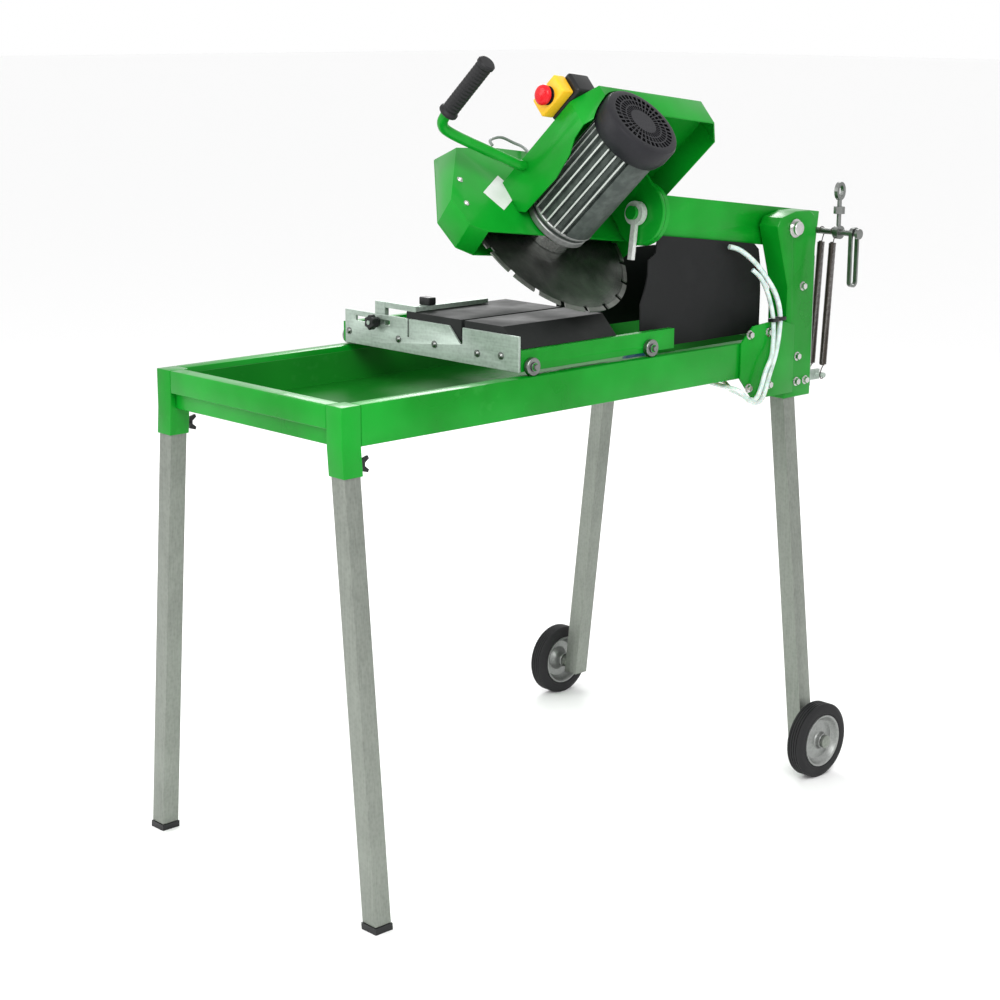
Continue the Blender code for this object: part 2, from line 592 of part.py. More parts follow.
def make_stop(cart):
    slot_z = CHANNEL_FOOT + FENCE_HEIGHT - 0.001 - 0.014
    y = 0.388
    back = FENCE_X + FENCE_THICKNESS + GAP
    slide = empty("stop_bar_axis", (back, y, slot_z), (0, 0, 0), cart)
    lift = DECK_TOP + GAP - slot_z
    bar = put("stop_bar", block(0, 0.010, -0.014, 0.014, -0.010, lift + 0.010), ZINC, slide, bevel=0.0006)
    join(bar, block(0.001, 0.009, -0.098, -0.012, lift, lift + 0.010))
    join(bar, block(0.002, STOP_LENGTH, -0.099, -0.075, lift + 0.001, lift + 0.009))
    join(bar, rod(SCREW_RADIUS, -STUD_REACH, 0.004, 20), turn=along("x"))
    slider = empty("stop_slider_axis", (0.040, -0.087, lift + 0.009 + GAP), (0, 0, 0), slide)
    put("stop_slider", block(-0.009, 0.009, -0.014, 0.014, 0, 0.014), BLACK_PLASTIC, slider, bevel=0.0015)
    knob_axis = empty("stop_knob_axis", (-FENCE_THICKNESS - GAP, 0, 0), (0, 0, 0), slide)
    lobes = []
    for i in range(36):
        a = 2 * pi * i / 36
        r = KNOB_RADIUS * (0.9 + 0.1 * cos(6 * a))
        lobes.append((r * cos(a), r * sin(a)))
    knob = put("stop_knob", prism(lobes, "z", -0.022, -0.008), BLACK_PLASTIC, knob_axis, turn=along("x"), bevel=0.0012)
    join(knob, rod(0.009, -0.010, -0.001, 16), turn=along("x"))
    cut(knob, rod(SCREW_RADIUS + RUNNING, -0.030, 0.010, 20), turn=along("x"))


def make_arm(arm):
    half_y, half_z, wall = BEAM_WIDTH / 2, BEAM_HEIGHT / 2, BEAM_WALL
    outer, inner = rect(-half_y, half_y, -half_z, half_z), rect(wall - half_y, half_y - wall, wall - half_z, half_z - wall)
    beam = put("beam", hollow(outer, inner, "x", -BEAM_FRONT, BEAM_TAIL), GREEN, arm)
    cut(beam, rod(PIVOT_RADIUS + RUNNING, -0.05, 0.05, PIVOT_SIDES), turn=along("y"))
    tail = BEAM_TAIL - CROSSBAR_INSET
    cut(beam, rod(CROSSBAR_RADIUS + GAP, -0.05, 0.05, 16), (tail, 0, 0), along("y"))
    face = -BEAM_FRONT - GAP
    flange = [(0, 0), (FLANGE_RADIUS, 0), (FLANGE_RADIUS, FLANGE_THICKNESS), (SPIGOT_RADIUS, FLANGE_THICKNESS),
              (SPIGOT_RADIUS, 0.042), (0, 0.042)]
    put("beam_flange", turned(flange, 36), GREEN, arm, (face, 0, 0), (0, -pi / 2, 0))
    ends = (-0.142, 0.034)
    bar = [(0, ends[0]), (0.010, ends[0]), (0.010, ends[0] + 0.006), (CROSSBAR_RADIUS, ends[0] + 0.006),
           (CROSSBAR_RADIUS, ends[1] - 0.006), (0.010, ends[1] - 0.006), (0.010, ends[1]), (0, ends[1])]
    crossbar = put("spring_crossbar", turned(bar, 20), BRIGHT, arm, (tail, 0, 0), along("y"))
    add_eyebolt(crossbar, tail)
    make_hook(arm, tail)
    lever = empty("bevel_lever_axis", (face - FLANGE_THICKNESS - 0.0115, 0, 0), (0, -pi / 2 - BEAM_PITCH * 0, 0), arm)
    ring = [(SPIGOT_RADIUS + GAP, 0), (0.022, 0), (0.022, 0.013), (SPIGOT_RADIUS + GAP, 0.013)]
    grip = put("bevel_lever", turned(ring, 20), BLACK_PLASTIC, lever)
    join(grip, block(-0.085, -0.018, -0.005, 0.005, 0.002, 0.011))


def add_eyebolt(bolt, tail):
    # The eye is fixed round the crossbar, and its threaded stem stands upright with a lock nut and a lifting link.
    spot = (tail, -0.090, 0)
    join(bolt, rod(0.013, -0.006, 0.006, 20), spot, along("y"))
    upright = (0, -BEAM_PITCH, 0)
    join(bolt, rod(0.0045, 0.010, 0.066, 12), spot, upright)
    join(bolt, prism(circle(0.011, 6), "z", 0.036, 0.050), spot, upright)
    outer = [(a * 0.75, 0.080 + b) for a, b in circle(0.018, 16)]
    inner = [(a * 0.6, 0.080 + b) for a, b in circle(0.0115, 16)]
    join(bolt, hollow(outer, inner, "y", -0.004, 0.004), spot, upright)


def make_hook(arm, tail):
    swing = empty("snap_hook_axis", (tail, -0.132 + 0.004, 0), (0, -BEAM_PITCH, 0), arm)
    inner_r, outer_r, drop = 0.0078, 0.0125, 0.092
    outer, inner = [], []
    for i in range(24):
        a = 2 * pi * i / 24
        down = -drop if sin(a) < 0 else 0
        outer.append((outer_r * cos(a), outer_r * sin(a) + down))
        inner.append((inner_r * cos(a), inner_r * sin(a) + down))
    put("snap_hook", hollow(outer, inner, "y", -0.004, 0.004), ZINC, swing)


def make_spring(name, stand, y, top, foot, top_gap, foot_gap):
    way = Vector(foot) - Vector(top)
    length = way.length
    turn = Vector((0, 0, 1)).rotation_difference(way).to_euler()
    a, b = top_gap, length - foot_gap
    body = [(0, a), (0.002, a), (0.002, a + 0.012), (SPRING_RADIUS, a + 0.018), (SPRING_RADIUS, b - 0.018),
            (0.002, b - 0.012), (0.002, b), (0, b)]
    put(name, turned(body, 16), ZINC, stand, (top[0], y, top[2]), turn)


def make_bevel_plate(head):
    outline = []
    for i in range(31):
        a = radians(160) + radians(220) * i / 30
        outline.append((FLANGE_RADIUS * cos(a), FLANGE_RADIUS * sin(a)))
    top = HOOD_TOP - HOOD_WALL - GAP
    outline += [(0.054, top), (-0.054, top)]
    x1 = HEAD_REACH - BEAM_FRONT - GAP - FLANGE_THICKNESS - GAP
    plate = put("bevel_plate", prism(outline, "x", x1 - 0.009, x1), GREEN, head)
    cut(plate, rod(SPIGOT_RADIUS + RUNNING * 2, -0.02, 0.02), (x1, 0, 0), along("x"))


def make_hood(head):
    x0, x1, y0, y1 = HOOD_FRONT, HOOD_REAR, HOOD_OUTER, GUARD_NEAR - 0.0005
    corner = 0.045
    low = HOOD_TOP - HOOD_FLANGE
    plan = [(x0, y1), (x0, y0 + corner), (x0 + 0.035, y0), (x1 - corner, y0), (x1, y0 + corner), (x1, y1)]
    bm = bmesh.new()
    top = [bm.verts.new((x, y, HOOD_TOP)) for x, y in plan]
    foot = [bm.verts.new((x, y, low)) for x, y in plan]
    bm.faces.new(top)
    for i in range(1, len(plan) - 1):
        bm.faces.new((top[i], foot[i], foot[i + 1], top[i + 1]))
    swoop = [(y0 + 0.075, low - 0.004), (y0 + 0.100, low - 0.018), (y0 + 0.150, low - 0.029), (y1 - 0.012, low - 0.026)]
    lower = [bm.verts.new((x0, y, z)) for y, z in swoop]
    foot[0].co.z = low - 0.014
    bm.faces.new([top[1], foot[1], *lower, foot[0], top[0]])
    bmesh.ops.recalc_face_normals(bm, faces=bm.faces[:])
    if top[0].link_faces[0].normal.z < 0 and len(top[0].link_faces[0].verts) == len(plan):
        bmesh.ops.reverse_faces(bm, faces=bm.faces[:])
    mesh = bpy.data.meshes.new("hood")
    bm.to_mesh(mesh)
    bm.free()
    hood = bpy.data.objects.new("hood", mesh)
    bpy.context.scene.collection.objects.link(hood)
    hood.parent = head
    mesh.materials.append(material(GREEN))
    shell = hood.modifiers.new("shell", "SOLIDIFY")
    shell.thickness = HOOD_WALL
    shell.offset = -1
    shell.use_even_offset = True
    room = COWL_RADIUS + 0.0035
    cut(hood, rod(room, y0 - 0.02, y0 + 0.07, 40), (BLADE_SHIFT, 0, BLADE_RISE), along("y"))


def guard_outline():
    # Shares of the blade's radius.
    shares = [(-0.67, -0.083), (-1.13, -0.10), (-1.33, -0.017), (-1.40, 0.29), (-0.93, 1.0), (-0.335, 1.06),
              (0.335, 1.06), (0.87, 0.91), (1.10, 0.44), (1.10, -0.055), (0.67, -0.083)]
    return [(BLADE_RADIUS * x, BLADE_RADIUS * z) for x, z in shares]


def make_guard(head):
    near = guard_outline()
    back = GUARD_NEAR + GUARD_DEPTH
    far = [(x if x > 0 else x * 0.97, z + 0.026) if z > 0.1 else (x * 0.95, z) for x, z in near]
    bm = bmesh.new()
    front = [bm.verts.new((x, GUARD_NEAR, z)) for x, z in near]
    rear = [bm.verts.new((x, back, z)) for x, z in far]
    bm.faces.new(front)
    for i in range(len(near) - 1):
        if i == 0 or i == len(near) - 2:
            continue
        bm.faces.new((front[i], front[i + 1], rear[i + 1]))
        bm.faces.new((front[i], rear[i + 1], rear[i]))
    bmesh.ops.recalc_face_normals(bm, faces=bm.faces[:])
    wall = next(face for face in bm.faces if len(face.verts) == len(near))
    if wall.normal.y > 0:
        bmesh.ops.reverse_faces(bm, faces=bm.faces[:])
    loose = [v for v in bm.verts if not v.link_faces]
    bmesh.ops.delete(bm, geom=loose, context="VERTS")
    mesh = bpy.data.meshes.new("guard_shell")
    bm.to_mesh(mesh)
    bm.free()
    guard = bpy.data.objects.new("guard_shell", mesh)
    bpy.context.scene.collection.objects.link(guard)
    guard.parent = head
    mesh.materials.append(material(GREEN))
    shell = guard.modifiers.new("shell", "SOLIDIFY")
    shell.thickness = GUARD_WALL
    shell.offset = -1
    cut(guard, rod(0.030, -0.01, 0.01), (BLADE_SHIFT, GUARD_NEAR, BLADE_RISE), along("y"))
    cut(guard, block(-0.4, 0.4, back, back + 0.03, -0.1, 0.4))
    cover = put("guard_cover", prism(far, "y", back + GAP, back + GAP + 0.0022), GREEN, head)
    return cover


def make_motor(head):
    centre = (BLADE_SHIFT, 0, BLADE_RISE)
    drive = GUARD_NEAR - 0.0006
    fins, steps = 20, 80

    def ring(y, radius, fin):
        points = []
        for i in range(steps):
            a = 2 * pi * i / steps
            r = radius + (fin if i % (steps // fins) < 2 else 0)
            points.append((r * cos(a), y, r * sin(a)))
        return points

    core = MOTOR_RADIUS - MOTOR_FIN
    end = drive - MOTOR_LENGTH
    rings = [ring(drive, 0.052, 0), ring(drive - 0.014, core, 0), ring(drive - 0.024, core, 0),
             ring(drive - 0.026, core, MOTOR_FIN), ring(end + 0.018, core, MOTOR_FIN), ring(end + 0.016, core, 0),
             ring(end, core - 0.004, 0)]
    motor = put("motor_body", skin(rings), MOTOR_GREY, head, centre)
    cut(motor, rod(SHAFT_RADIUS + RUNNING, -0.3, 0.1, 28), centre, along("y"))
    mouth = end + 0.018
    cowl = [(MOTOR_RADIUS + 0.001, -mouth), (MOTOR_RADIUS + 0.003, -mouth), (COWL_RADIUS, 0.014 - mouth),
            (COWL_RADIUS, COWL_LENGTH - mouth), (0, COWL_LENGTH - mouth), (0, COWL_LENGTH - COWL_WALL - mouth),
            (COWL_RADIUS - COWL_WALL, COWL_LENGTH - COWL_WALL - mouth), (COWL_RADIUS - COWL_WALL, 0.0150 - mouth)]
    cover = put("fan_cowl", turned(cowl, 28), BLACK_PLASTIC, head, centre, along("-y"))
    vents = bmesh.new()
    for i in range(8):
        a = 2 * pi * i / 8
        spot = [(0.048 * cos(a) + p, 0.048 * sin(a) + q) for p, q in circle(0.0085, 8)]
        prism(spot, "z", COWL_LENGTH - 0.01 - mouth, COWL_LENGTH + 0.01 - mouth, vents)
    cut(cover, vents, centre, along("-y"))
    return end


def make_spindle(head, motor_end):
    axis = empty("spindle_axis", (BLADE_SHIFT, 0, BLADE_RISE), along("y"), head)
    blade_y = BLADE_OFFSET - BLADE_THICKNESS / 2
    fan_y = motor_end - 0.015
    seat = blade_y - GAP
    shaft = [(0, fan_y - 0.006), (SHAFT_RADIUS, fan_y - 0.006), (SHAFT_RADIUS, seat - HUB_THICKNESS),
             (CLAMP_RADIUS, seat - HUB_THICKNESS), (CLAMP_RADIUS, seat), (SHAFT_RADIUS, seat),
             (SHAFT_RADIUS, 0.116), (0, 0.116)]
    put("spindle", turned(shaft, 28), BRIGHT, axis)
    bore = SHAFT_RADIUS + 0.0002
    outline = []
    teeth = BLADE_SLOTS
    for i in range(teeth):
        for share, depth in ((0.04, 0.013), (0.12, 0.013), (0.17, 0), (0.99, 0)):
            a = 2 * pi * (i + share) / teeth
            r = BLADE_RADIUS - depth
            outline.append((r * cos(a), r * sin(a)))
    hole = circle(bore, len(outline))
    put("blade", hollow(outline, hole, "z", blade_y, blade_y + BLADE_THICKNESS), BLADE_STEEL, axis)
    low = blade_y + BLADE_THICKNESS + GAP
    ring = [(bore, low), (CLAMP_RADIUS, low), (CLAMP_RADIUS, low + CLAMP_THICKNESS), (bore, low + CLAMP_THICKNESS)]
    put("blade_flange", turned(ring, 28), BRIGHT, axis)
    nut_low = low + CLAMP_THICKNESS + GAP
    put("arbor_nut", hollow(circle(0.0165, 6 * 4)[::1], circle(bore, 24), "z", nut_low, nut_low + 0.011), BRIGHT, axis)
    star = []
    for i in range(32):
        a = 2 * pi * i / 32
        r = 0.060 if i % 4 < 2 else 0.024
        star.append((r * cos(a), r * sin(a)))
    put("fan", hollow(star, circle(bore, 32), "z", fan_y, fan_y + 0.012), BLACK_PLASTIC, axis)


def make_handle(head):
    y, z = -0.026, 0.160
    grip_x = -0.270
    root = (HOOD_FRONT - GAP, 0, HOOD_TOP - 0.0125)
    path = [(-0.112, 0, HOOD_TOP - 0.0125), (-0.140, 0, 0.103), (-0.180, 0, 0.121), (-0.225, 0, 0.141),
            (-0.254, -0.003, 0.154), (-0.266, -0.013, 0.159), (grip_x, y, z), (grip_x, y - 0.008, z)]
    end = (grip_x, y - GRIP_LENGTH - 0.004, z)
    sweep("handle_tube", [root, *rounded(path, 2), end], HANDLE_RADIUS, GREEN, head, 3)
    bore, out, length = HANDLE_RADIUS + GAP, GRIP_RADIUS, GRIP_LENGTH
    grip = [(bore, 0), (out + 0.003, 0), (out + 0.003, 0.006), (out, 0.009), (out, length - 0.009),
            (out + 0.002, length - 0.006), (out + 0.001, length), (0, length + 0.002), (0, length - 0.002),
            (bore, length - 0.002)]
    put("grip", turned(grip, 20), BLACK_RUBBER, head, (grip_x, y - 0.010, z), along("-y"))


def make_switch(head):
    x0, x1, y0, y1 = -0.100, -0.050, -0.178, -0.100
    low, top = HOOD_TOP + GAP, 0.147
    put("switch_box", block(x0, x1, y0, y1, low, top), BLACK_PLASTIC, head, bevel=0.004)
    hinge = empty("estop_flap_axis", (x0 - GAP, 0, top + 0.002), (0, 0, 0), head)
    depth, drop = 0.027, 0.041
    wall = block(-depth, 0, y0 + 0.010, y1 - 0.002, -0.0005 - drop, -0.0025)
    flap = put("estop_flap", wall, YELLOW, hinge, bevel=0.003)
    mid_y, mid_z = (y0 + y1) / 2 + 0.004, -0.022
    cut(flap, rod(0.0085, -0.016, 0.016, 20), (-depth, mid_y, mid_z), along("x"))
    axis = empty("estop_button_axis", (-depth, mid_y, mid_z), (0, -pi / 2, 0), hinge)
    r = BUTTON_RADIUS
    cap = [(0, -0.0095), (0.008, -0.0095), (0.008, 0.0062), (r - 0.003, 0.0062), (r, 0.009), (r, 0.013), (r - 0.004, 0.018),
           (0, 0.0195)]
    put("estop_button", turned(cap, 28), RED, axis)


def build():
    clear_scene()
    root = empty("frame_origin", (-CENTRE_X, -CENTRE_Y, 0))
    make_stand(root)
    make_column(root)
    make_tray(root)
    make_hoses(root)
    make_curtain(root, PIVOT_HEIGHT)
    arm = empty("arm_axis", (PIVOT_X, BEAM_Y, PIVOT_HEIGHT), (0, BEAM_PITCH, 0), root)
    make_arm(arm)
    tail = BEAM_TAIL - CROSSBAR_INSET
    top = (PIVOT_X + tail * cos(BEAM_PITCH), 0, PIVOT_HEIGHT - tail * sin(BEAM_PITCH))
    foot = (REAR_X + 0.110, 0, RAIL_TOP - 0.088)
    make_spring_plate(root, foot[0], foot[2])
    for name, y in (("near_spring", -0.006), ("far_spring", 0.022)):
        make_spring(name, root, y, top, foot, CROSSBAR_RADIUS + GAP, 0.005 + GAP)
    head = empty("head_axis", (-HEAD_REACH, 0, 0), (-HEAD_TILT, 0, 0), arm)
    make_bevel_plate(head)
    make_hood(head)
    make_guard(head)
    motor_end = make_motor(head)
    make_spindle(head, motor_end)
    make_handle(head)
    make_switch(head)
    make_cart(root)


build()
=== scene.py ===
import bpy, bmesh, json
from math import cos, pi, radians, sin
from mathutils import Matrix, Vector


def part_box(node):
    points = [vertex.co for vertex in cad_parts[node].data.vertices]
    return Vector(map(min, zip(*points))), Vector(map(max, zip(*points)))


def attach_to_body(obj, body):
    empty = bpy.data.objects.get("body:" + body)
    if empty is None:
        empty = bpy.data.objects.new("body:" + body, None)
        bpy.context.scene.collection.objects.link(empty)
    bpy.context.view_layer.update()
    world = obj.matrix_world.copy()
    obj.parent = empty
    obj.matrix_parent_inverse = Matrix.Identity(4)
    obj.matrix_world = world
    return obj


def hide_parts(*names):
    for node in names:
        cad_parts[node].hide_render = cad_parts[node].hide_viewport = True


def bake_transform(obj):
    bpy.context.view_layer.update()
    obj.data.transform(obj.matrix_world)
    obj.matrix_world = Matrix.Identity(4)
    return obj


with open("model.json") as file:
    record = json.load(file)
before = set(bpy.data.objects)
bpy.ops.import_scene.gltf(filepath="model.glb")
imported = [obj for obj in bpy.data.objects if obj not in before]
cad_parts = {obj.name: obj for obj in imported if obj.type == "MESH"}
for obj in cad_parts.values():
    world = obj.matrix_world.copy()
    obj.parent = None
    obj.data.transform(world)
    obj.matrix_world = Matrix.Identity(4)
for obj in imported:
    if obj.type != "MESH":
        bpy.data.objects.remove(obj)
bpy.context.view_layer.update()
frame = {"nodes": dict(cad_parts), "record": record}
joints = {j["name"]: j for j in frame["record"]["behaviour"]["joints"]}
corner = Vector((-0.6353, -0.2588, 0))  # the stand's front near corner on the floor
beamPitch = radians(7.1)
headTilt = radians(45)


def onStand(x, y, z):
    return corner + Vector((x, y, z))


def jointAt(name):
    return Vector(joints[name]["pos_m"])


armFrame = Matrix.Translation(jointAt("arm_pivot")) @ Matrix.Rotation(beamPitch, 4, "Y")
headFrame = (Matrix.Translation(jointAt("head_bevel")) @ Matrix.Rotation(beamPitch, 4, "Y")
             @ Matrix.Rotation(-headTilt, 4, "X"))
spinX, spinZ = -0.016, 0.0175  # the motor's axis, counted on the head
discY = 0.091  # the middle plane of the disc


class Value:
    # one shader value; sums and products of it make Math nodes
    def __init__(self, finish, socket):
        self.finish, self.socket = finish, socket

    def math(self, kind, *others):
        node = self.finish.tree.nodes.new("ShaderNodeMath")
        node.operation = kind
        for slot, other in zip(node.inputs, (self, *others)):
            self.finish.feed(slot, other)
        return Value(self.finish, node.outputs[0])

    def __add__(self, other): return self.math("ADD", other)
    def __mul__(self, other): return self.math("MULTIPLY", other)
    __radd__, __rmul__ = __add__, __mul__


class Finish:
    def __init__(self, name, colour, rough, metal=0.0, **constants):
        self.material = bpy.data.materials.new(name)
        self.material.use_nodes = True
        self.tree = self.material.node_tree
        self.shader = self.tree.nodes["Principled BSDF"]
        self.colour = colour
        self.set("Base Color", (*colour, 1))
        self.set("Roughness", rough)
        self.set("Metallic", metal)
        for key, value in constants.items():
            self.set(key.replace("_", " "), value)
        self.where = self.node("TexCoord").outputs["Object"]

    def set(self, name, value):
        self.shader.inputs[name].default_value = value

    def node(self, kind, settings=(), **inputs):
        made = self.tree.nodes.new("ShaderNode" + kind)
        for key, value in dict(settings).items():
            setattr(made, key, value)
        for key, value in inputs.items():
            self.feed(made.inputs[key.replace("_", " ")], value)
        return made

    def feed(self, slot, value):
        if isinstance(value, Value):
            self.tree.links.new(value.socket, slot)
        elif hasattr(value, "links"):
            self.tree.links.new(value, slot)
        else:
            slot.default_value = value

    def spot(self, scale=(1, 1, 1)):
        return self.node("Mapping", Vector=self.where, Scale=scale).outputs[0]

    def noise(self, scale, detail=4.0, stretch=(1, 1, 1)):
        made = self.node("TexNoise", Vector=self.spot(stretch), Scale=scale, Detail=detail)
        return Value(self, made.outputs["Fac"])

    def cells(self, scale):
        made = self.node("TexVoronoi", Vector=self.spot(), Scale=scale)
        return Value(self, made.outputs["Distance"])

    def band(self, value, low, high, fromTo=(0.0, 1.0)):
        made = self.node("MapRange", {"clamp": True}, Value=value)
        for key, number in zip(("From Min", "From Max", "To Min", "To Max"), (low, high, *fromTo)):
            made.inputs[key].default_value = number
        return Value(self, made.outputs[0])

    def blend(self, share, first, second):
        made = self.node("Mix", {"data_type": "RGBA"})
        self.feed(made.inputs[0], share)
        for slot, colour in zip(made.inputs[6:8], (first, second)):
            self.feed(slot, colour if isinstance(colour, Value) else (*colour, 1))
        return Value(self, made.outputs[2])

    def use(self, name, value):
        self.feed(self.shader.inputs[name], value)

    def bump(self, height, strength=0.2, distance=0.001):
        made = self.node("Bump", Height=height, Strength=strength, Distance=distance)
        self.feed(self.shader.inputs["Normal"], made.outputs[0])


def makePaint():
    f = Finish("greenPaint", (0.002, 0.290, 0.014), 0.32, Coat_Roughness=0.12, Specular_IOR_Level=0.16)
    broad, fine, dust = f.noise(5, 3), f.noise(260, 2), f.noise(38, 6)
    tone = f.blend(f.band(broad, 0.35, 0.65), (0.0005, 0.195, 0.008), (0.003, 0.285, 0.018))
    scuff = f.band(dust * f.noise(9, 2), 0.36, 0.44)
    f.use("Base Color", f.blend(scuff * 0.2, tone, (0.04, 0.32, 0.05)))
    f.use("Roughness", f.band(broad, 0.3, 0.7, (0.26, 0.36)) + scuff * 0.14)
    f.use("Coat Weight", f.band(dust, 0.3, 0.7, (0.16, 0.05)))
    f.bump(fine * 0.5 + f.noise(70, 2) * 0.5, 0.06, 0.0006)
    return f.material


def makeShadedTrayPaint():
    # painted shade: this green is darker than the stand's paint, standing in for the shade inside the tray; the
    # noise tone and lime patches are the paint's own
    f = Finish("shadedTrayPaint", (0.002, 0.20, 0.010), 0.55, Specular_IOR_Level=0.06)
    dirt = f.noise(7, 6)
    lime = f.band(dirt * f.noise(60, 4), 0.30, 0.46)
    tone = f.blend(f.band(f.noise(3, 2), 0.3, 0.7), (0.003, 0.13, 0.008), (0.008, 0.20, 0.014))
    f.use("Base Color", f.blend(lime * 0.22, tone, (0.06, 0.30, 0.07)))
    f.use("Roughness", f.band(lime, 0, 1, (0.5, 0.7)))
    f.bump(dirt + f.noise(120, 2) * 0.2, 0.08, 0.001)
    return f.material


def makeGalvanised(name, colour, streak, metal=0.8):
    f = Finish(name, colour, 0.42, metal)
    flakes, streaks = f.cells(150), f.noise(90, 4, streak)
    flake, mottle = f.band(flakes, 0.1, 0.7), f.noise(11, 3)
    dark, light = tuple(c * 0.74 for c in colour), tuple(min(1, c * 1.12) for c in colour)
    tone = f.band(streaks * 0.5 + flake * 0.15 + mottle * 0.35, 0.3, 0.66)
    f.use("Base Color", f.blend(tone, dark, light))
    f.use("Roughness", f.band(flake, 0, 1, (0.36, 0.46)) + f.band(streaks, 0.55, 0.8, (0, 0.10)))
    f.bump(streaks * 0.6 + f.noise(400, 2) * 0.3, 0.08, 0.0004)
    return f.material


def makeBright(name, colour, rough):
    f = Finish(name, colour, rough, 1.0)
    grain = f.noise(900, 3)
    f.use("Base Color", f.blend(f.band(f.noise(45, 3), 0.4, 0.75), colour, tuple(c * 0.72 for c in colour)))
    f.use("Roughness", f.band(grain, 0.3, 0.7, (rough * 0.8, rough * 1.35)))
    f.bump(grain, 0.05, 0.0003)
    return f.material


def makeRubber(name, colour=(0.006, 0.0065, 0.007), scale=300, rough=0.58, dusty=0.014):
    f = Finish(name, colour, rough, Specular_IOR_Level=0.22)
    grain, dust = f.noise(scale, 3), f.noise(14, 5)
    f.use("Base Color", f.blend(f.band(dust, 0.45, 0.8) * 0.45, colour, tuple(c + dusty for c in colour)))
    f.use("Roughness", f.band(dust, 0.3, 0.8, (rough - 0.1, rough + 0.16)))
    f.bump(grain + dust * 0.4, 0.15, 0.0005)
    return f.material


def makePlastic(name, colour, rough=0.34, grainScale=700):
    f = Finish(name, colour, rough, Specular_IOR_Level=0.3)
    grain = f.noise(grainScale, 2)
    pale = tuple(min(1, c * 1.5 + 0.006) for c in colour)
    f.use("Base Color", f.blend(f.band(f.noise(30, 3), 0.4, 0.8) * 0.3, colour, pale))
    f.use("Roughness", f.band(grain, 0.3, 0.7, (rough - 0.05, rough + 0.09)))
    f.bump(grain, 0.10, 0.0003)
    return f.material


def makeCasting():
    # painted highlight: the tops of the fins are painted bright metal grey
    f = Finish("motorCasting", (0.10, 0.12, 0.11), 0.42, 0.35)
    skin, mottleAndHighlightEdge = f.noise(420, 3), f.noise(60, 4)
    toAxis = f.node("VectorMath", {"operation": "SUBTRACT"})
    f.feed(toAxis.inputs[0], f.where)
    toAxis.inputs[1].default_value = headFrame @ Vector((spinX, 0, spinZ))
    crossed = f.node("VectorMath", {"operation": "CROSS_PRODUCT"})
    f.feed(crossed.inputs[0], toAxis.outputs[0])
    crossed.inputs[1].default_value = headFrame.to_3x3() @ Vector((0, 1, 0))
    length = f.node("VectorMath", {"operation": "LENGTH"})
    f.feed(length.inputs[0], crossed.outputs[0])
    # painted highlight mask: every point past the fin roots' radius, edge jittered by the mottle noise
    finTipHighlight = f.band(Value(f, length.outputs["Value"]) + mottleAndHighlightEdge * 0.0012, 0.0655, 0.0663)
    tone = f.blend(f.band(mottleAndHighlightEdge, 0.4, 0.7), (0.040, 0.052, 0.046), (0.075, 0.092, 0.082))
    f.use("Base Color", f.blend(finTipHighlight, tone, (0.52, 0.55, 0.52)))
    f.use("Roughness", f.band(skin, 0.3, 0.7, (0.36, 0.50)))
    f.bump(skin, 0.12, 0.0004)
    return f.material


def makeBladeSteel():
    f = Finish("bladeSteel", (0.10, 0.105, 0.10), 0.30, 0.95)
    centre = headFrame @ Vector((spinX, discY, spinZ))
    offset = f.node("VectorMath", {"operation": "DISTANCE"})
    f.feed(offset.inputs[0], f.where)
    offset.inputs[1].default_value = centre
    radius = Value(f, offset.outputs["Value"])
    rings = f.node("TexNoise", {"noise_dimensions": "1D"}, W=radius * 900.0, Detail=3.0).outputs["Fac"]
    rings = Value(f, rings)
    stain = f.noise(22, 5)
    tone = f.band(stain * 0.6 + rings * 0.4, 0.38, 0.64)
    f.use("Base Color", f.blend(tone, (0.045, 0.055, 0.045), (0.17, 0.175, 0.165)))
    f.use("Roughness", f.band(rings, 0.3, 0.7, (0.22, 0.42)))
    f.bump(rings, 0.10, 0.0004)
    return f.material


def makeHose():
    f = Finish("hoseVinyl", (0.60, 0.70, 0.66), 0.16, Coat_Weight=0.5, Subsurface_Weight=0.2)
    f.use("Base Color", f.blend(f.band(f.noise(60, 3), 0.35, 0.7), (0.44, 0.56, 0.52), (0.72, 0.80, 0.77)))
    f.bump(f.noise(500, 2), 0.04, 0.0003)
    return f.material


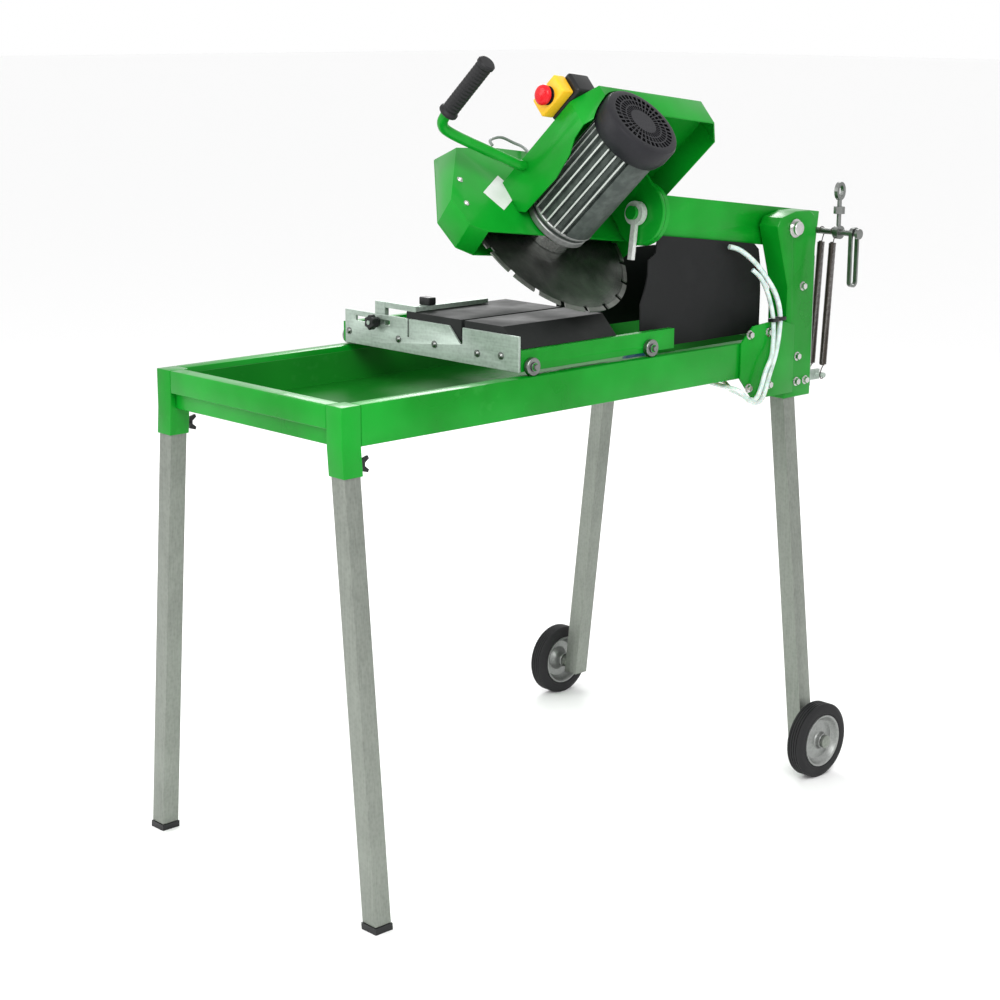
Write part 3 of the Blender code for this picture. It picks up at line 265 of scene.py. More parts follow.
finishes = {
    "paint": makePaint(),
    "tray": makeShadedTrayPaint(),
    "leg": makeGalvanised("galvanisedTube", (0.235, 0.255, 0.225), (5, 5, 0.12), 0.75),
    "zinc": makeGalvanised("zincPlate", (0.36, 0.43, 0.38), (3, 0.25, 3), 0.5),
    "whiteZinc": makeGalvanised("whiteZinc", (0.72, 0.74, 0.72), (3, 3, 3), 0.3),
    "bright": makeBright("turnedSteel", (0.66, 0.66, 0.65), 0.22),
    "springSteel": makeBright("springSteel", (0.085, 0.075, 0.065), 0.38),
    "dullSteel": makeBright("dullSteel", (0.24, 0.25, 0.24), 0.34),
    "rubber": makeRubber("curtainRubber"),
    "tyre": makeRubber("tyreRubber", (0.016, 0.016, 0.017), 220, 0.66),
    "gripRubber": makeRubber("gripRubber", (0.014, 0.014, 0.015), 500, 0.5),
    "black": makePlastic("blackPlastic", (0.009, 0.0095, 0.010)),
    "cowl": makePlastic("cowlPlastic", (0.008, 0.008, 0.011), 0.46, 520),
    "deck": makeRubber("deckCoating", (0.010, 0.0115, 0.011), 900, 0.62, 0.008),
    "casting": makeCasting(),
    "blade": makeBladeSteel(),
    "segment": makeBright("segmentMetal", (0.24, 0.245, 0.23), 0.42),
    "yellow": makePlastic("switchYellow", (0.86, 0.46, 0.02), 0.30),
    "red": makePlastic("buttonRed", (0.62, 0.006, 0.012), 0.24),
    "hose": makeHose(),
    "pump": makePlastic("pumpPlastic", (0.02, 0.10, 0.18), 0.3),
    "rim": makeGalvanised("rimZinc", (0.30, 0.31, 0.30), (3, 3, 3)),
    "cable": makePlastic("cableGrey", (0.20, 0.22, 0.21), 0.4),
    "cream": makePlastic("creamPlastic", (0.62, 0.55, 0.42), 0.4),
    "plate": makePlastic("whitePlate", (0.66, 0.68, 0.66), 0.3),
}
print("finishes ready")


def attach(piece, body, replaces, bends):
    # when bends is given, the piece is baked in place instead of being attached to a body; the two ends it holds
    # are not used
    if bends:
        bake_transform(piece)
    else:
        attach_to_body(piece, body)
    if replaces:
        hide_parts(*replaces)


def addPiece(name, bm, finish, body, place=None, replaces=(), sharp=32, bends=None):
    if place is not None:
        bmesh.ops.transform(bm, matrix=place, verts=bm.verts)
    bmesh.ops.recalc_face_normals(bm, faces=bm.faces)
    mesh = bpy.data.meshes.new(name)
    bm.to_mesh(mesh)
    bm.free()
    mesh.shade_smooth()
    mesh.set_sharp_from_angle(angle=radians(sharp))
    piece = bpy.data.objects.new(name, mesh)
    bpy.context.scene.collection.objects.link(piece)
    mesh.materials.append(finishes[finish])
    attach(piece, body, replaces, bends)
    return piece


def bevelEdges(bm, width, segments=2, angle=30):
    edges = [e for e in bm.edges if len(e.link_faces) == 2 and e.calc_face_angle(0) > radians(angle)]
    bmesh.ops.bevel(bm, geom=edges, affect="EDGES", offset=width, offset_type="OFFSET", segments=segments,
                    profile=0.5, material=-1, clamp_overlap=True)


def box(bm, low, high):
    # one block between two corners
    made = bmesh.ops.create_cube(bm, size=1.0)["verts"]
    low, high = Vector(low), Vector(high)
    size = high - low
    bmesh.ops.scale(bm, vec=size, verts=made)
    bmesh.ops.translate(bm, vec=(low + high) / 2, verts=made)


def lathe(profile, steps=48, full=True):
    # spins a (radius, height) profile about Z
    bm = bmesh.new()
    points = [bm.verts.new((r, 0, h)) for r, h in profile]
    edges = [bm.edges.new(pair) for pair in zip(points, points[1:])]
    if full:
        edges.append(bm.edges.new((points[-1], points[0])))
    bmesh.ops.spin(bm, geom=points + edges, cent=(0, 0, 0), axis=(0, 0, 1), angle=2 * pi, steps=steps,
                   use_merge=True)
    bmesh.ops.remove_doubles(bm, verts=bm.verts, dist=1e-6)
    return bm


def turnTo(direction, spot):
    # places a shape made along Z at spot, pointing along direction
    way = Vector(direction).to_track_quat("Z", "Y").to_matrix().to_4x4()
    return Matrix.Translation(Vector(spot)) @ way


def angleOf(spot):
    # round Z, from 0 to a full turn
    return spot.xy.angle_signed(Vector((1, 0)), 0) % (2 * pi)


def nextRing(bm, edges):
    # extrudes a loop of edges; gives the new points and the new loop
    made = bmesh.ops.extrude_edge_only(bm, edges=edges)["geom"]
    verts = [g for g in made if isinstance(g, bmesh.types.BMVert)]
    return verts, [g for g in made if isinstance(g, bmesh.types.BMEdge) and all(v in verts for v in g.verts)]


def eased(node, width, finish, body, angle=28, segments=2):
    # a CAD piece again, with its sheet edges rounded over
    bm = bmesh.new()
    bm.from_mesh(frame["nodes"][node].data)
    bmesh.ops.remove_doubles(bm, verts=bm.verts, dist=2e-5)
    bmesh.ops.dissolve_limit(bm, angle_limit=radians(1.5), verts=bm.verts, edges=bm.edges)
    bevelEdges(bm, width, segments, angle)
    addPiece(node + "_eased", bm, finish, body, replaces=[node])


def tube(name, points, radius, finish, body, replaces=(), sides=12, bends=None):
    # a round tube along a smooth path
    curve = bpy.data.curves.new(name, "CURVE")
    curve.dimensions = "3D"
    curve.bevel_depth = radius
    curve.bevel_resolution = sides // 4
    curve.use_fill_caps = True
    line = curve.splines.new("POLY")
    line.points.add(len(points) - 1)
    for spot, point in zip(line.points, points):
        spot.co = (*point, 1)
    line.use_smooth = True
    drawn = bpy.data.objects.new(name + "Path", curve)
    bpy.context.scene.collection.objects.link(drawn)
    bpy.context.view_layer.update()
    mesh = bpy.data.meshes.new_from_object(drawn.evaluated_get(bpy.context.evaluated_depsgraph_get()))
    bpy.data.objects.remove(drawn)
    mesh.name = name
    mesh.materials.clear()
    mesh.materials.append(finishes[finish])
    mesh.shade_smooth()
    piece = bpy.data.objects.new(name, mesh)
    bpy.context.scene.collection.objects.link(piece)
    attach(piece, body, replaces, bends)


def smoothPath(points, steps=6):
    points = [Vector(p) for p in points]
    ends = [points[0], *points, points[-1]]
    path = []
    for a, b, c, d in zip(ends, ends[1:], ends[2:], ends[3:]):
        for k in range(steps):
            t = k / steps
            bent = (2 * b + (c - a) * t + (2 * a - 5 * b + 4 * c - d) * t * t
                    + (3 * b - a - 3 * c + d) * t ** 3)
            path.append(0.5 * bent)
    return path + [points[-1]]


def boltHead(bm, place, across=0.013, height=0.006, washer=0.009, rounded=False):
    # hexagon or pan head on a washer
    thick, sides, crown = 0.0014, 20 if rounded else 6, 0.30 if rounded else 0.48
    part = bmesh.new()
    bmesh.ops.create_cone(part, cap_ends=True, segments=24, radius1=washer, radius2=washer * 0.96, depth=thick,
                          matrix=Matrix.Translation((0, 0, thick / 2)))
    bmesh.ops.create_cone(part, cap_ends=True, segments=sides, radius1=across * 0.56, radius2=across * crown,
                          depth=height, matrix=Matrix.Translation((0, 0, thick + height / 2)))
    bmesh.ops.transform(part, matrix=place, verts=part.verts)
    mesh = bpy.data.meshes.new("part")
    part.to_mesh(mesh)
    part.free()
    bm.from_mesh(mesh)
    bpy.data.meshes.remove(mesh)


def paintNodes():
    # CAD pieces that keep their shape, with the finish each one takes
    kept = {
        "paint": ["beam_flange"],
        "zinc": ["stop_bar"],
        "dullSteel": ["snap_hook", "spring_crossbar", "front_near_roller", "front_far_roller",
                      "rear_near_roller", "rear_far_roller"],
        "whiteZinc": ["bevel_lever"],
        "bright": ["spindle", "blade_flange", "arbor_nut", "pivot_bolt"],
        "black": ["fan", "front_near_foot", "front_far_foot", "front_near_screw", "front_far_screw"],
        "pump": ["water_pump"],
    }
    for finish, nodes in kept.items():
        for node in nodes:
            mesh = frame["nodes"][node].data
            mesh.materials.clear()
            mesh.materials.append(finishes[finish])
            mesh.shade_smooth()
            mesh.set_sharp_from_angle(angle=radians(34))


def easeSheets():
    easing = {"front_rail": 0.002, "near_rail": 0.003, "far_rail": 0.003, "rear_rail": 0.002,
              "front_near_post": 0.002, "front_far_post": 0.002, "rear_far_post": 0.002, "column": 0.0022}
    for node, width in easing.items():
        eased(node, width, "paint", "stand")
    for leg in ("front_near_leg", "front_far_leg", "rear_near_leg", "rear_far_leg"):
        eased(leg, 0.0035, "leg", "stand", segments=3)
    eased("water_tray", 0.0008, "tray", "stand", segments=1)
    eased("spring_plate", 0.0006, "zinc", "stand", segments=1)
    eased("beam", 0.003, "paint", "arm")
    sheets = {"bevel_plate": 0.0014, "hood": 0.0012, "guard_shell": 0.0009, "guard_cover": 0.0009}
    for node, width in sheets.items():
        eased(node, width, "paint", "head")
    eased("switch_box", 0.003, "black", "head", segments=3)
    eased("cart_frame", 0.001, "paint", "cart", segments=1)
    eased("fence", 0.0008, "zinc", "cart", segments=1)
    eased("deck", 0.0012, "deck", "cart")
    eased("stop_slider", 0.0012, "black", "stop_slide_block")
    eased("stop_knob", 0.0010, "black", "knob")


def makeWheel(side, body, centre):
    wheel = {"radius": 0.0755, "half": 0.018, "rim": 0.0525, "ribs": 5, "inset": 0.004, "groove": 0.0024}
    outward = (0, -1 if side == "near" else 1, 0)
    place = turnTo(outward, centre)
    r, h, rim, inset, seat = wheel["radius"], wheel["half"], wheel["rim"], wheel["inset"], wheel["rim"] + 0.0004
    outer = [(seat, -h + 0.0025), (seat + 0.004, -h + 0.0004), (seat + 0.0065, -h + 0.0012),
             (r - 0.011, -h + 0.0002), (r - 0.004, -h + 0.0022)]
    width, deep = 2 * (h - inset) / wheel["ribs"], r - wheel["groove"]
    for i in range(wheel["ribs"]):
        low = -h + inset + i * width
        outer += [(r - 0.0006, low + 0.0004), (r, low + width * 0.3), (r, low + width * 0.7),
                  (r - 0.0006, low + width - 0.0010)]
        if i < wheel["ribs"] - 1:
            outer += [(deep, low + width - 0.0008), (deep, low + width + 0.0002)]
    outer += [(r - 0.004, h - 0.0022), (r - 0.011, h - 0.0002), (seat + 0.0065, h - 0.0012),
              (seat + 0.004, h - 0.0004), (seat, h - 0.0025)]
    addPiece(f"{side}TyreRibbed", lathe(outer, 96), "tyre", body, place, [f"{side}_tyre"])
    disc = [(0.0082, -0.0195), (0.0082, 0.0195), (0.0150, 0.0195), (0.0158, 0.0185), (0.0165, 0.0110),
            (0.0185, 0.0085), (0.0260, 0.0072), (0.0340, 0.0050), (0.0395, 0.0048), (0.0435, 0.0078),
            (0.0465, 0.0125), (0.0480, 0.0158), (0.0500, 0.0172), (rim - 0.0004, 0.0170), (rim, 0.0155),
            (rim, -0.0155), (rim - 0.0004, -0.0170), (0.0500, -0.0172), (0.0480, -0.0150), (0.0465, -0.0100),
            (0.0430, -0.0030), (0.0395, 0.0008), (0.0340, 0.0012), (0.0260, 0.0030), (0.0185, -0.0040),
            (0.0165, -0.0080), (0.0158, -0.0185), (0.0150, -0.0195)]
    addPiece(f"{side}RimDished", lathe(disc, 72), "rim", body, place, [f"{side}_rim"])


def makeSpring(name, y, node):
    spring = {"wire": 0.00105, "radius": 0.0064, "turns": 104, "each": 12, "hook": 0.014, "eye": 0.114,
              "footX": 1.225, "footZ": 0.79}
    top = armFrame @ Vector((spring["eye"], 0, 0))
    top.y = onStand(0, y, 0).y
    foot = onStand(spring["footX"], y, spring["footZ"])
    way = (foot - top).normalized()
    across = Vector((0, 1, 0))
    side = way.cross(across).normalized()
    start, end = top + way * (0.0063 + spring["hook"]), foot - way * (0.0055 + spring["hook"])
    hook = [top + side * -0.0078 + way * 0.004, top + side * -0.0066 - way * 0.0052, top - way * 0.0080,
            top + side * 0.0066 - way * 0.0052, top + side * 0.0078 + way * 0.003,
            top + side * 0.0040 + way * 0.014]
    coil = []
    count = spring["turns"] * spring["each"]
    for k in range(count + 1):
        a = 2 * pi * k / spring["each"]
        taper = min(1, k / 10, (count - k) / 10)
        r = spring["radius"] * (0.35 + 0.65 * taper)
        coil.append(start.lerp(end, k / count) + side * r * cos(a) + across * r * sin(a))
    low = [foot - side * 0.0030 - way * 0.012, foot - side * 0.0066 - way * 0.002,
           foot - side * 0.0048 + way * 0.0052, foot + way * 0.0072,
           foot + side * 0.0048 + way * 0.0052, foot + side * 0.0066 - way * 0.003]
    path = smoothPath(hook, 3) + coil + smoothPath(low, 3)
    tube(name, path, spring["wire"], "springSteel", "stand", [node], 8, bends=(foot, top))


def makeHoses():
    side, under = -0.0125, 0.8035
    water = [(1.000, 0.085, under), (0.985, 0.045, 0.797), (0.968, 0.012, 0.789), (0.968, -0.010, 0.784),
             (0.982, side, 0.775), (1.003, side, 0.764), (1.022, side, 0.762), (1.037, side, 0.775),
             (1.050, side, 0.808), (1.067, side, 0.847), (1.076, side, 0.885), (1.081, -0.010, 0.926),
             (1.077, -0.001, 0.963), (1.060, 0.010, 0.996), (1.036, 0.020, 1.026), (1.005, 0.030, 1.050),
             (0.980, 0.037, 1.0585)]
    low = -0.0235
    drain = [(0.968, 0.100, under), (0.960, 0.050, 0.797), (0.952, 0.012, 0.796), (0.948, -0.012, 0.796),
             (0.955, low, 0.790), (0.978, low, 0.771), (0.996, low, 0.771), (1.010, low, 0.784),
             (1.025, low, 0.820), (1.041, low, 0.846), (1.054, -0.0165, 0.868), (1.060, side, 0.893),
             (1.058, -0.0115, 0.920), (1.059, -0.005, 0.943), (1.056, 0.004, 0.971), (1.046, 0.012, 0.996),
             (1.030, 0.020, 1.012)]
    routes = {"waterHoseTube": (water, 0.005, "water_hose"), "returnHoseTube": (drain, 0.0045, "return_hose")}
    for name, (path, radius, node) in routes.items():
        tube(name, smoothPath([onStand(*p) for p in path], 5), radius, "hose", "stand", [node], 16,
             bends=(onStand(1.06, 0, 0.940), onStand(1.0, 0.03, 1.045)))
    bm = bmesh.new()
    clips = (((1.0700, -0.019, 0.914), (1.0905, -0.004, 0.921)),
             ((1.0500, -0.019, 0.913), (1.0695, -0.0052, 0.920)))
    for first, last in clips:
        box(bm, onStand(*first), onStand(*last))
    bevelEdges(bm, 0.0012)
    addPiece("hoseClips", bm, "black", "stand")


def makeCurtain():
    # soft rubber on three sides of the blade's spray, hung from the beam
    curtain = {"thick": 0.0026, "near": 0.0475, "far": 0.2985, "back": 1.0835, "fold": 0.0030, "cut": 0.012}
    near = [(0.744, 0.885), (0.7425, 0.968), (0.757, 1.001), (0.763, 1.020), (0.764, 1.048), (0.784, 1.060),
            (0.790, 1.0905), (0.806, 1.0900), (0.930, 1.0750), (1.020, 1.0635), (1.066, 1.0575),
            (1.080, 1.046), (1.0850, 1.018), (1.0862, 0.960), (1.085, 0.885)]
    far = [(0.780, 0.887), (0.780, 0.985), (0.800, 1.012), (0.830, 1.035), (1.0835, 1.035), (1.0835, 0.887)]
    back = [(0.052, 0.887), (0.2960, 0.887), (0.2960, 1.034), (0.2, 1.040), (0.052, 1.040)]
    bm = bmesh.new()
    bm.faces.new([bm.verts.new(onStand(x, curtain["near"], z)) for x, z in near])
    bm.faces.new([bm.verts.new(onStand(x, curtain["far"], z)) for x, z in far])
    bm.faces.new([bm.verts.new(onStand(curtain["back"], y, z)) for y, z in back])
    for axis, low, high in ((0, 0.748, 1.082), (1, 0.056, 0.292), (2, 0.893, 1.086)):
        for k in range(int((high - low) / curtain["cut"]) + 1):
            spot, normal = [0, 0, 0], [0, 0, 0]
            spot[axis], normal[axis] = low + k * curtain["cut"], 1
            bmesh.ops.bisect_plane(bm, geom=bm.verts[:] + bm.edges[:] + bm.faces[:], plane_co=onStand(*spot),
                                   plane_no=normal, dist=1e-5)
    area = sum(face.calc_area() for face in bm.faces)
    for v in bm.verts:
        p = v.co - corner
        hang = min(1, max(0, (1.085 - p.z) / 0.12))
        wave = sin(p.x * 38 + 5 * p.z) * 0.6 + sin(p.x * 71 - 9 * p.z + 1.3) * 0.4
        # one soft fold from the hub down to the rail
        crease = 1 - min(1, abs((p.x - 0.80) * 0.55 - (1.045 - p.z)) / 0.012)
        if abs(p.y - curtain["near"]) < 0.001:
            v.co.y -= curtain["fold"] * (hang * (0.5 + 0.5 * wave) + 0.6 * crease)
        elif abs(p.y - curtain["far"]) < 0.001:
            v.co.y += curtain["fold"] * hang * wave * 0.3
    bmesh.ops.recalc_face_normals(bm, faces=bm.faces)
    bmesh.ops.solidify(bm, geom=bm.faces[:], thickness=curtain["thick"])
    piece = addPiece("sprayCurtain", bm, "rubber", "stand", replaces=["splash_curtain"], sharp=50,
                     bends=(onStand(0.95, 0.05, 0.893), onStand(0.95, 0.05, 1.055)))


def makeHandle():
    handle = {"radius": 0.0095, "grip": 0.0145, "length": 0.122, "ribs": 14,
              "x": -0.270, "y": -0.026, "z": 0.160}
    x, y, z = handle["x"], handle["y"], handle["z"]
    path = [(-0.112, 0, 0.0905), (-0.140, 0, 0.103), (-0.180, 0, 0.121), (-0.225, 0, 0.141),
            (-0.254, -0.003, 0.154), (-0.266, -0.013, 0.159), (x, y, z), (x, y - 0.008, z)]
    points = [(-0.1002, 0, 0.0905), *smoothPath(path, 5), (x, y - 0.12, z)]
    route = [headFrame @ Vector(p) for p in points]
    tube("handleBar", route, handle["radius"], "paint", "head", ["handle_tube"], 24)
    bore, out, length = handle["radius"] + 0.0004, handle["grip"], handle["length"]
    profile = [(bore, 0.0), (out + 0.0022, 0.0), (out + 0.003, 0.0012), (out + 0.003, 0.0050),
               (out + 0.0012, 0.0066), (out - 0.0006, 0.0085)]
    pitch = (length - 0.020) / handle["ribs"]
    for i in range(handle["ribs"]):
        low = 0.010 + i * pitch
        profile += [(out - 0.0009, low), (out + 0.0002, low + pitch * 0.25), (out + 0.0002, low + pitch * 0.7),
                    (out - 0.0009, low + pitch * 0.95)]
    profile += [(out, length - 0.0085), (out + 0.0018, length - 0.006), (out + 0.0018, length - 0.001),
                (out - 0.001, length + 0.0018), (0.0001, length + 0.002), (0.0001, length - 0.0015),
                (bore, length - 0.0015)]
    place = headFrame @ Matrix.Translation((x, y - 0.010, z)) @ Matrix.Rotation(radians(90), 4, "X")
    addPiece("gripRibbed", lathe(profile, 56), "gripRubber", "head", place, ["grip"])


def makeMotor():
    motor = {"fins": 24, "each": 12, "core": 0.0585, "fin": 0.0660, "plain": 0.78,
             "plainFrom": radians(240), "plainTo": radians(318)}
    bm = bmesh.new()
    bmesh.ops.create_circle(bm, cap_ends=False, segments=motor["fins"] * motor["each"], radius=1.0)
    rings = [(-0.0594, 0.052, 0), (-0.0560, 0.0545, 0), (-0.0454, 0.0583, 0), (-0.0360, 0.0585, 0),
             (-0.0350, 0.0585, 0.5), (-0.0330, 0.0585, 1), (0.1540, 0.0585, 1), (0.1571, 0.0585, 0.6),
             (0.1585, 0.0585, 0), (0.1751, 0.0548, 0)]

    def shape(verts, height, radius, grow):
        for v in verts:
            turn = angleOf(v.co)
            away = abs((turn * motor["fins"] / (2 * pi)) % 1 - 0.5)
            fin = min(1, max(0, (0.19 - away) / 0.08))
            if motor["plainFrom"] < turn < motor["plainTo"]:
                fin = motor["plain"]  # the smooth panel under the wiring cover
            r = radius + (motor["fin"] - motor["core"]) * fin * grow
            unit = v.co.xy.normalized()
            v.co = (unit.x * r, unit.y * r, height)

    edges = bm.edges[:]
    shape(bm.verts[:], *rings[0])
    bmesh.ops.edgeloop_fill(bm, edges=edges)
    for height, radius, grow in rings[1:]:
        verts, edges = nextRing(bm, edges)
        shape(verts, height, radius, grow)
    bmesh.ops.edgeloop_fill(bm, edges=edges)
    place = headFrame @ Matrix.Translation((spinX, 0, spinZ)) @ Matrix.Rotation(radians(90), 4, "X")
    addPiece("motorFinned", bm, "casting", "head", place, ["motor_body"], 40)
    back = headFrame @ Matrix.Translation((spinX, 0, spinZ)) @ Matrix.Rotation(radians(-90), 4, "X")
    bands = {"motorFlange": (0.0455, 0.0585, 0.0622), "motorBand": (0.0325, 0.0385, 0.0648)}
    for name, (low, high, radius) in bands.items():
        ring = [(0.050, low), (radius - 0.0015, low), (radius, low + 0.0015), (radius, high - 0.002),
                (radius - 0.002, high), (0.050, high)]
        addPiece(name, lathe(ring, 72), "rim", "head", back)
    # cowl: a ring of slots in its end, over the fan
    cowl = {"small": 0.0685, "big": 0.0750, "mouth": 0.1571, "end": 0.2046, "steps": 108,
            "slots": ((0.0505, 0.060), (0.0385, 0.048), (0.0265, 0.036))}
    big, mouth, end = cowl["big"], cowl["mouth"], cowl["end"]
    profile = [(cowl["small"], mouth), (0.0700, mouth + 0.0002), (big - 0.0002, mouth + 0.0140),
               (big, mouth + 0.020), (big, end - 0.008), (big - 0.003, end - 0.0022), (big - 0.009, end)]
    profile += [(r, end) for r in (0.060, 0.0505, 0.048, 0.0385, 0.036, 0.0265, 0.010)]
    bm = lathe(profile, cowl["steps"], full=False)
    gone = []
    for face in bm.faces:
        middle = face.calc_center_median()
        r = middle.xy.length
        slot = int(angleOf(middle) / (2 * pi) * cowl["steps"])
        inSlot = slot % 3 != 0 and any(low < r < high for low, high in cowl["slots"])
        if middle.z > end - 0.0005 and inSlot:
            gone.append(face)
    bmesh.ops.delete(bm, geom=gone, context="FACES")
    hole = [e for e in bm.edges
            if e.is_boundary and e.calc_length() < 0.0011 and e.verts[0].co.xy.length < 0.011]
    bmesh.ops.edgeloop_fill(bm, edges=hole)
    bmesh.ops.recalc_face_normals(bm, faces=bm.faces)
    bmesh.ops.solidify(bm, geom=bm.faces[:], thickness=0.0016)
    addPiece("fanCowl", bm, "cowl", "head", place, ["fan_cowl"])


def makeBlade():
    blade = {"radius": 0.180, "bore": 0.0104, "slots": 20, "each": 16, "open": 3, "depth": 0.013,
             "thick": 0.0022, "segmentThick": 0.0029}
    rim, each = blade["radius"], blade["each"]
    bm = bmesh.new()
    count = blade["slots"] * each
    bmesh.ops.create_circle(bm, cap_ends=False, segments=count, radius=1.0)
    radii = [blade["bore"], 0.030, 0.070, 0.110, 0.140, rim - 0.024, rim - blade["depth"], rim - 0.009]

    def ring(verts, r):
        for v in verts:
            unit = v.co.xy.normalized()
            v.co = (unit.x * r, unit.y * r, -blade["thick"] / 2)

    edges = bm.edges[:]
    ring(bm.verts[:], radii[0])
    for r in radii[1:]:
        verts, edges = nextRing(bm, edges)
        ring(verts, r)
    gone = []
    for face in bm.faces:
        middle = face.calc_center_median()
        step = int(angleOf(middle) / (2 * pi) * count) % each
        if middle.xy.length > rim - blade["depth"] and step < blade["open"]:
            gone.append(face)
    bmesh.ops.delete(bm, geom=gone, context="FACES")
    bmesh.ops.remove_doubles(bm, verts=bm.verts, dist=1e-6)
    bmesh.ops.recalc_face_normals(bm, faces=bm.faces)
    made = bmesh.ops.extrude_face_region(bm, geom=bm.faces[:])
    lifted = [g for g in made["geom"] if isinstance(g, bmesh.types.BMVert)]
    bmesh.ops.translate(bm, vec=(0, 0, blade["thick"]), verts=lifted)
    place = headFrame @ Matrix.Translation((spinX, discY, spinZ)) @ Matrix.Rotation(radians(-90), 4, "X")
    addPiece("bladeDisc", bm, "blade", "spindle_set", place, ["blade"])
    bm = bmesh.new()
    for i in range(blade["slots"]):
        start = 2 * pi * (i + blade["open"] / each) / blade["slots"]
        sweep = 2 * pi * (each - blade["open"]) / each / blade["slots"]
        low, high, half = rim - 0.0088, rim - 0.0003, blade["segmentThick"] / 2
        corners = ((low, -half), (high, -half), (high, half), (low, half))
        face = bm.faces.new([bm.verts.new((r * cos(start), r * sin(start), h)) for r, h in corners])
        bmesh.ops.spin(bm, geom=[face], cent=(0, 0, 0), axis=(0, 0, 1), angle=sweep, steps=7)
    addPiece("bladeSegments", bm, "segment", "spindle_set", place)


def makeEmergencyStop():
    stop = {"back": -0.1003, "depth": 0.027, "y0": -0.168, "y1": -0.102, "low": 0.1075, "high": 0.1465,
            "middle": 0.127, "button": 0.018}
    front, r = stop["back"] - stop["depth"], stop["button"]
    bm = bmesh.new()
    box(bm, (front, stop["y0"], stop["low"]), (stop["back"] - 0.0003, stop["y1"], stop["high"]))
    bevelEdges(bm, 0.0035, 3)
    addPiece("stopFlapRound", bm, "yellow", "stop_flap", headFrame, ["estop_flap"])
    profile = [(0.0001, -0.001), (0.0078, -0.001), (0.0078, 0.0060), (0.0110, 0.0064), (r - 0.002, 0.0072),
               (r - 0.0003, 0.0090), (r, 0.0115), (r - 0.0006, 0.0145), (r - 0.003, 0.0172),
               (r - 0.007, 0.0187), (0.0001, 0.0195)]
    spot = (headFrame @ Matrix.Translation((front, (stop["y0"] + stop["y1"]) / 2, stop["middle"]))
            @ Matrix.Rotation(radians(-90), 4, "Y"))
    addPiece("stopButtonCap", lathe(profile, 56), "red", "stop_button", spot, ["estop_button"])
    collar = [(0.0086, 0.0002), (0.0165, 0.0002), (0.0165, 0.0008), (0.0160, 0.0012), (0.0086, 0.0012)]
    addPiece("stopCollar", lathe(collar, 40), "black", "stop_flap", spot)


def makeSmallHardware():
    spots = {
        "stand": [(0.998, 0.893), (1.055, 0.893), (0.998, 0.790), (1.060, 0.790), (1.150, 0.785), (1.178, 0.785),
                  (1.150, 0.835), (1.160, 0.972)],
        "fence": [(0.060, 0.910), (0.120, 0.907), (0.232, 0.910), (0.330, 0.908), (0.470, 0.908)],
        "cover": [(-0.205, 0.012), (-0.195, 0.085), (-0.055, 0.165), (0.110, 0.150), (0.165, 0.020)],
        "guard": [(-0.220, 0.045), (-0.205, 0.100)],
        "hood": [(0.060, -0.150), (0.200, -0.120), (0.200, 0.020), (-0.070, 0.020)],
    }
    plateEnd, plateFace = 1.118, -0.0043
    bm = bmesh.new()
    for x, z in spots["stand"]:
        boltHead(bm, turnTo((0, -1, 0), onStand(x, plateFace if x < plateEnd else 0.0, z)))
    addPiece("standBolts", bm, "bright", "stand")
    bm = bmesh.new()
    for y, z in spots["fence"]:
        boltHead(bm, turnTo((-1, 0, 0), onStand(0.4049, y, z)), 0.010, 0.003, 0.0066, True)
    for node in ("front_near_roller", "rear_near_roller", "front_far_roller", "rear_far_roller"):
        low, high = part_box(node)
        near = "near" in node
        y = low[1] - 0.0012 if near else high[1] + 0.0012
        spot = ((low[0] + high[0]) / 2, y, (low[2] + high[2]) / 2)
        boltHead(bm, turnTo((0, -1 if near else 1, 0), spot), 0.0105, 0.0045, 0.0085)
    addPiece("fenceScrews", bm, "dullSteel", "cart")
    bm = bmesh.new()
    for x, z in spots["cover"]:
        place = headFrame @ Matrix.Translation((x, 0.1226, z)) @ Matrix.Rotation(radians(-90), 4, "X")
        boltHead(bm, place, 0.010, 0.003, 0.0066, True)
    for x, z in spots["guard"]:
        place = headFrame @ Matrix.Translation((x, 0.0598, z)) @ Matrix.Rotation(radians(90), 4, "X")
        boltHead(bm, place, 0.009, 0.003, 0.006, True)
    for x, y in spots["hood"]:
        boltHead(bm, headFrame @ Matrix.Translation((x, y, 0.1031)), 0.012, 0.005, 0.008)
    addPiece("headBolts", bm, "bright", "head")


def makePlates():
    cable = [(-0.069, 0.060, 0.196), (-0.069, 0.060, 0.207), (-0.050, 0.062, 0.218), (-0.028, 0.062, 0.222),
             (-0.005, 0.062, 0.212), (0.004, 0.055, 0.196), (-0.006, 0.040, 0.160), (-0.020, 0.020, 0.120),
             (-0.030, 0.000, 0.1045)]
    path = smoothPath([headFrame @ Vector(p) for p in cable], 5)
    tube("switchCable", path, 0.0028, "cable", "head")
    blocks = (((0.062, -0.160, 0.062), (0.082, -0.128, 0.086)), ((0.066, -0.126, 0.066), (0.080, -0.112, 0.082)),
              ((0.064, -0.178, 0.070), (0.078, -0.163, 0.084)))
    bm = bmesh.new()
    for low, high in blocks:
        box(bm, low, high)
    bevelEdges(bm, 0.003, 3)
    addPiece("terminalBlocks", bm, "cream", "head", headFrame)
    bm = bmesh.new()
    box(bm, (-0.038, -0.0005, -0.024), (0.038, 0.0005, 0.024))
    bevelEdges(bm, 0.0003, 1)
    place = headFrame @ Matrix.Translation((-0.118, 0.0592, 0.078)) @ Matrix.Rotation(radians(-36), 4, "Y")
    addPiece("blankPlate", bm, "plate", "head", place)


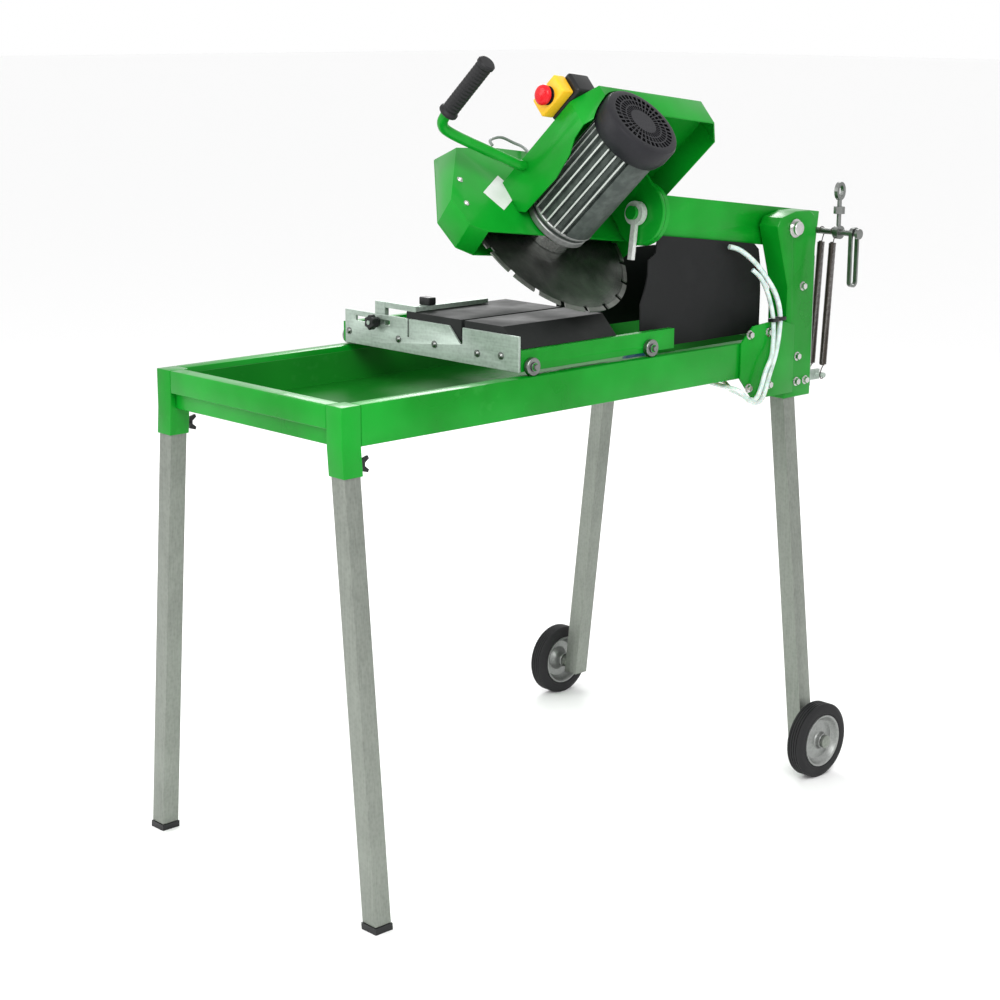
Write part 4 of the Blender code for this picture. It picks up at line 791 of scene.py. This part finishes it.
def setCamera():
    camera = bpy.data.cameras.new("camera")
    camera.lens, camera.sensor_width = 74.04, 36
    eye = bpy.data.objects.new("camera", camera)
    right, up = (0.72335645, -0.69045866, 0.00472105), (0.15582233, 0.16990007, 0.97306391)
    back = (-0.67266251, -0.70313641, 0.23048719)
    turn = Matrix((right, up, back)).transposed().to_4x4()
    eye.matrix_world = Matrix.Translation(corner + Vector((-2.0263132, -2.48107008, 1.48696809))) @ turn
    bpy.context.scene.collection.objects.link(eye)
    bpy.context.scene.camera = eye


def setStudio():
    bm = bmesh.new()
    bmesh.ops.create_grid(bm, x_segments=1, y_segments=1, size=60)
    mesh = bpy.data.meshes.new("floor")
    bm.to_mesh(mesh)
    bm.free()
    floor = bpy.data.objects.new("floor", mesh)
    bpy.context.scene.collection.objects.link(floor)
    pale = bpy.data.materials.new("paleFloor")
    pale.use_nodes = True
    shader = pale.node_tree.nodes["Principled BSDF"]
    shader.inputs["Base Color"].default_value = (0.96, 0.96, 0.96, 1)
    shader.inputs["Roughness"].default_value = 0.7
    mesh.materials.append(pale)
    world = bpy.data.worlds.new("studio")
    bpy.context.scene.world = world
    world.use_nodes = True
    background = world.node_tree.nodes["Background"]
    background.inputs["Color"].default_value = (1, 1, 1, 1)
    background.inputs["Strength"].default_value = 1.0
    bpy.context.scene.view_settings.view_transform = "Standard"
    aim = Vector((0, 0, 0.7))
    lamps = {"key": ((-2.2, -2.6, 3.4), 1.8, 95), "fill": ((-3.2, 1.6, 2.4), 2.2, 45),
             "back": ((2.4, 2.6, 3.0), 1.6, 60)}
    for name, (spot, size, power) in lamps.items():
        lamp = bpy.data.lights.new(name, "AREA")
        lamp.energy, lamp.size = power, size
        holder = bpy.data.objects.new(name, lamp)
        holder.matrix_world = turnTo(Vector(spot) - aim, spot)
        bpy.context.scene.collection.objects.link(holder)


setCamera()
makeHoses()
print("camera and hoses")
paintNodes()
easeSheets()
print("stand, arm and table")
makeWheel("near", "near_wheel", jointAt("near_wheel_spin"))
makeWheel("far", "far_wheel", jointAt("far_wheel_spin"))
makeSpring("nearSpringCoil", -0.006, "near_spring")
makeSpring("farSpringCoil", 0.022, "far_spring")
makeCurtain()
print("wheels, springs and curtain")
makeHandle()
makeMotor()
makeBlade()
makeEmergencyStop()
print("head")
makeSmallHardware()
makePlates()
setStudio()
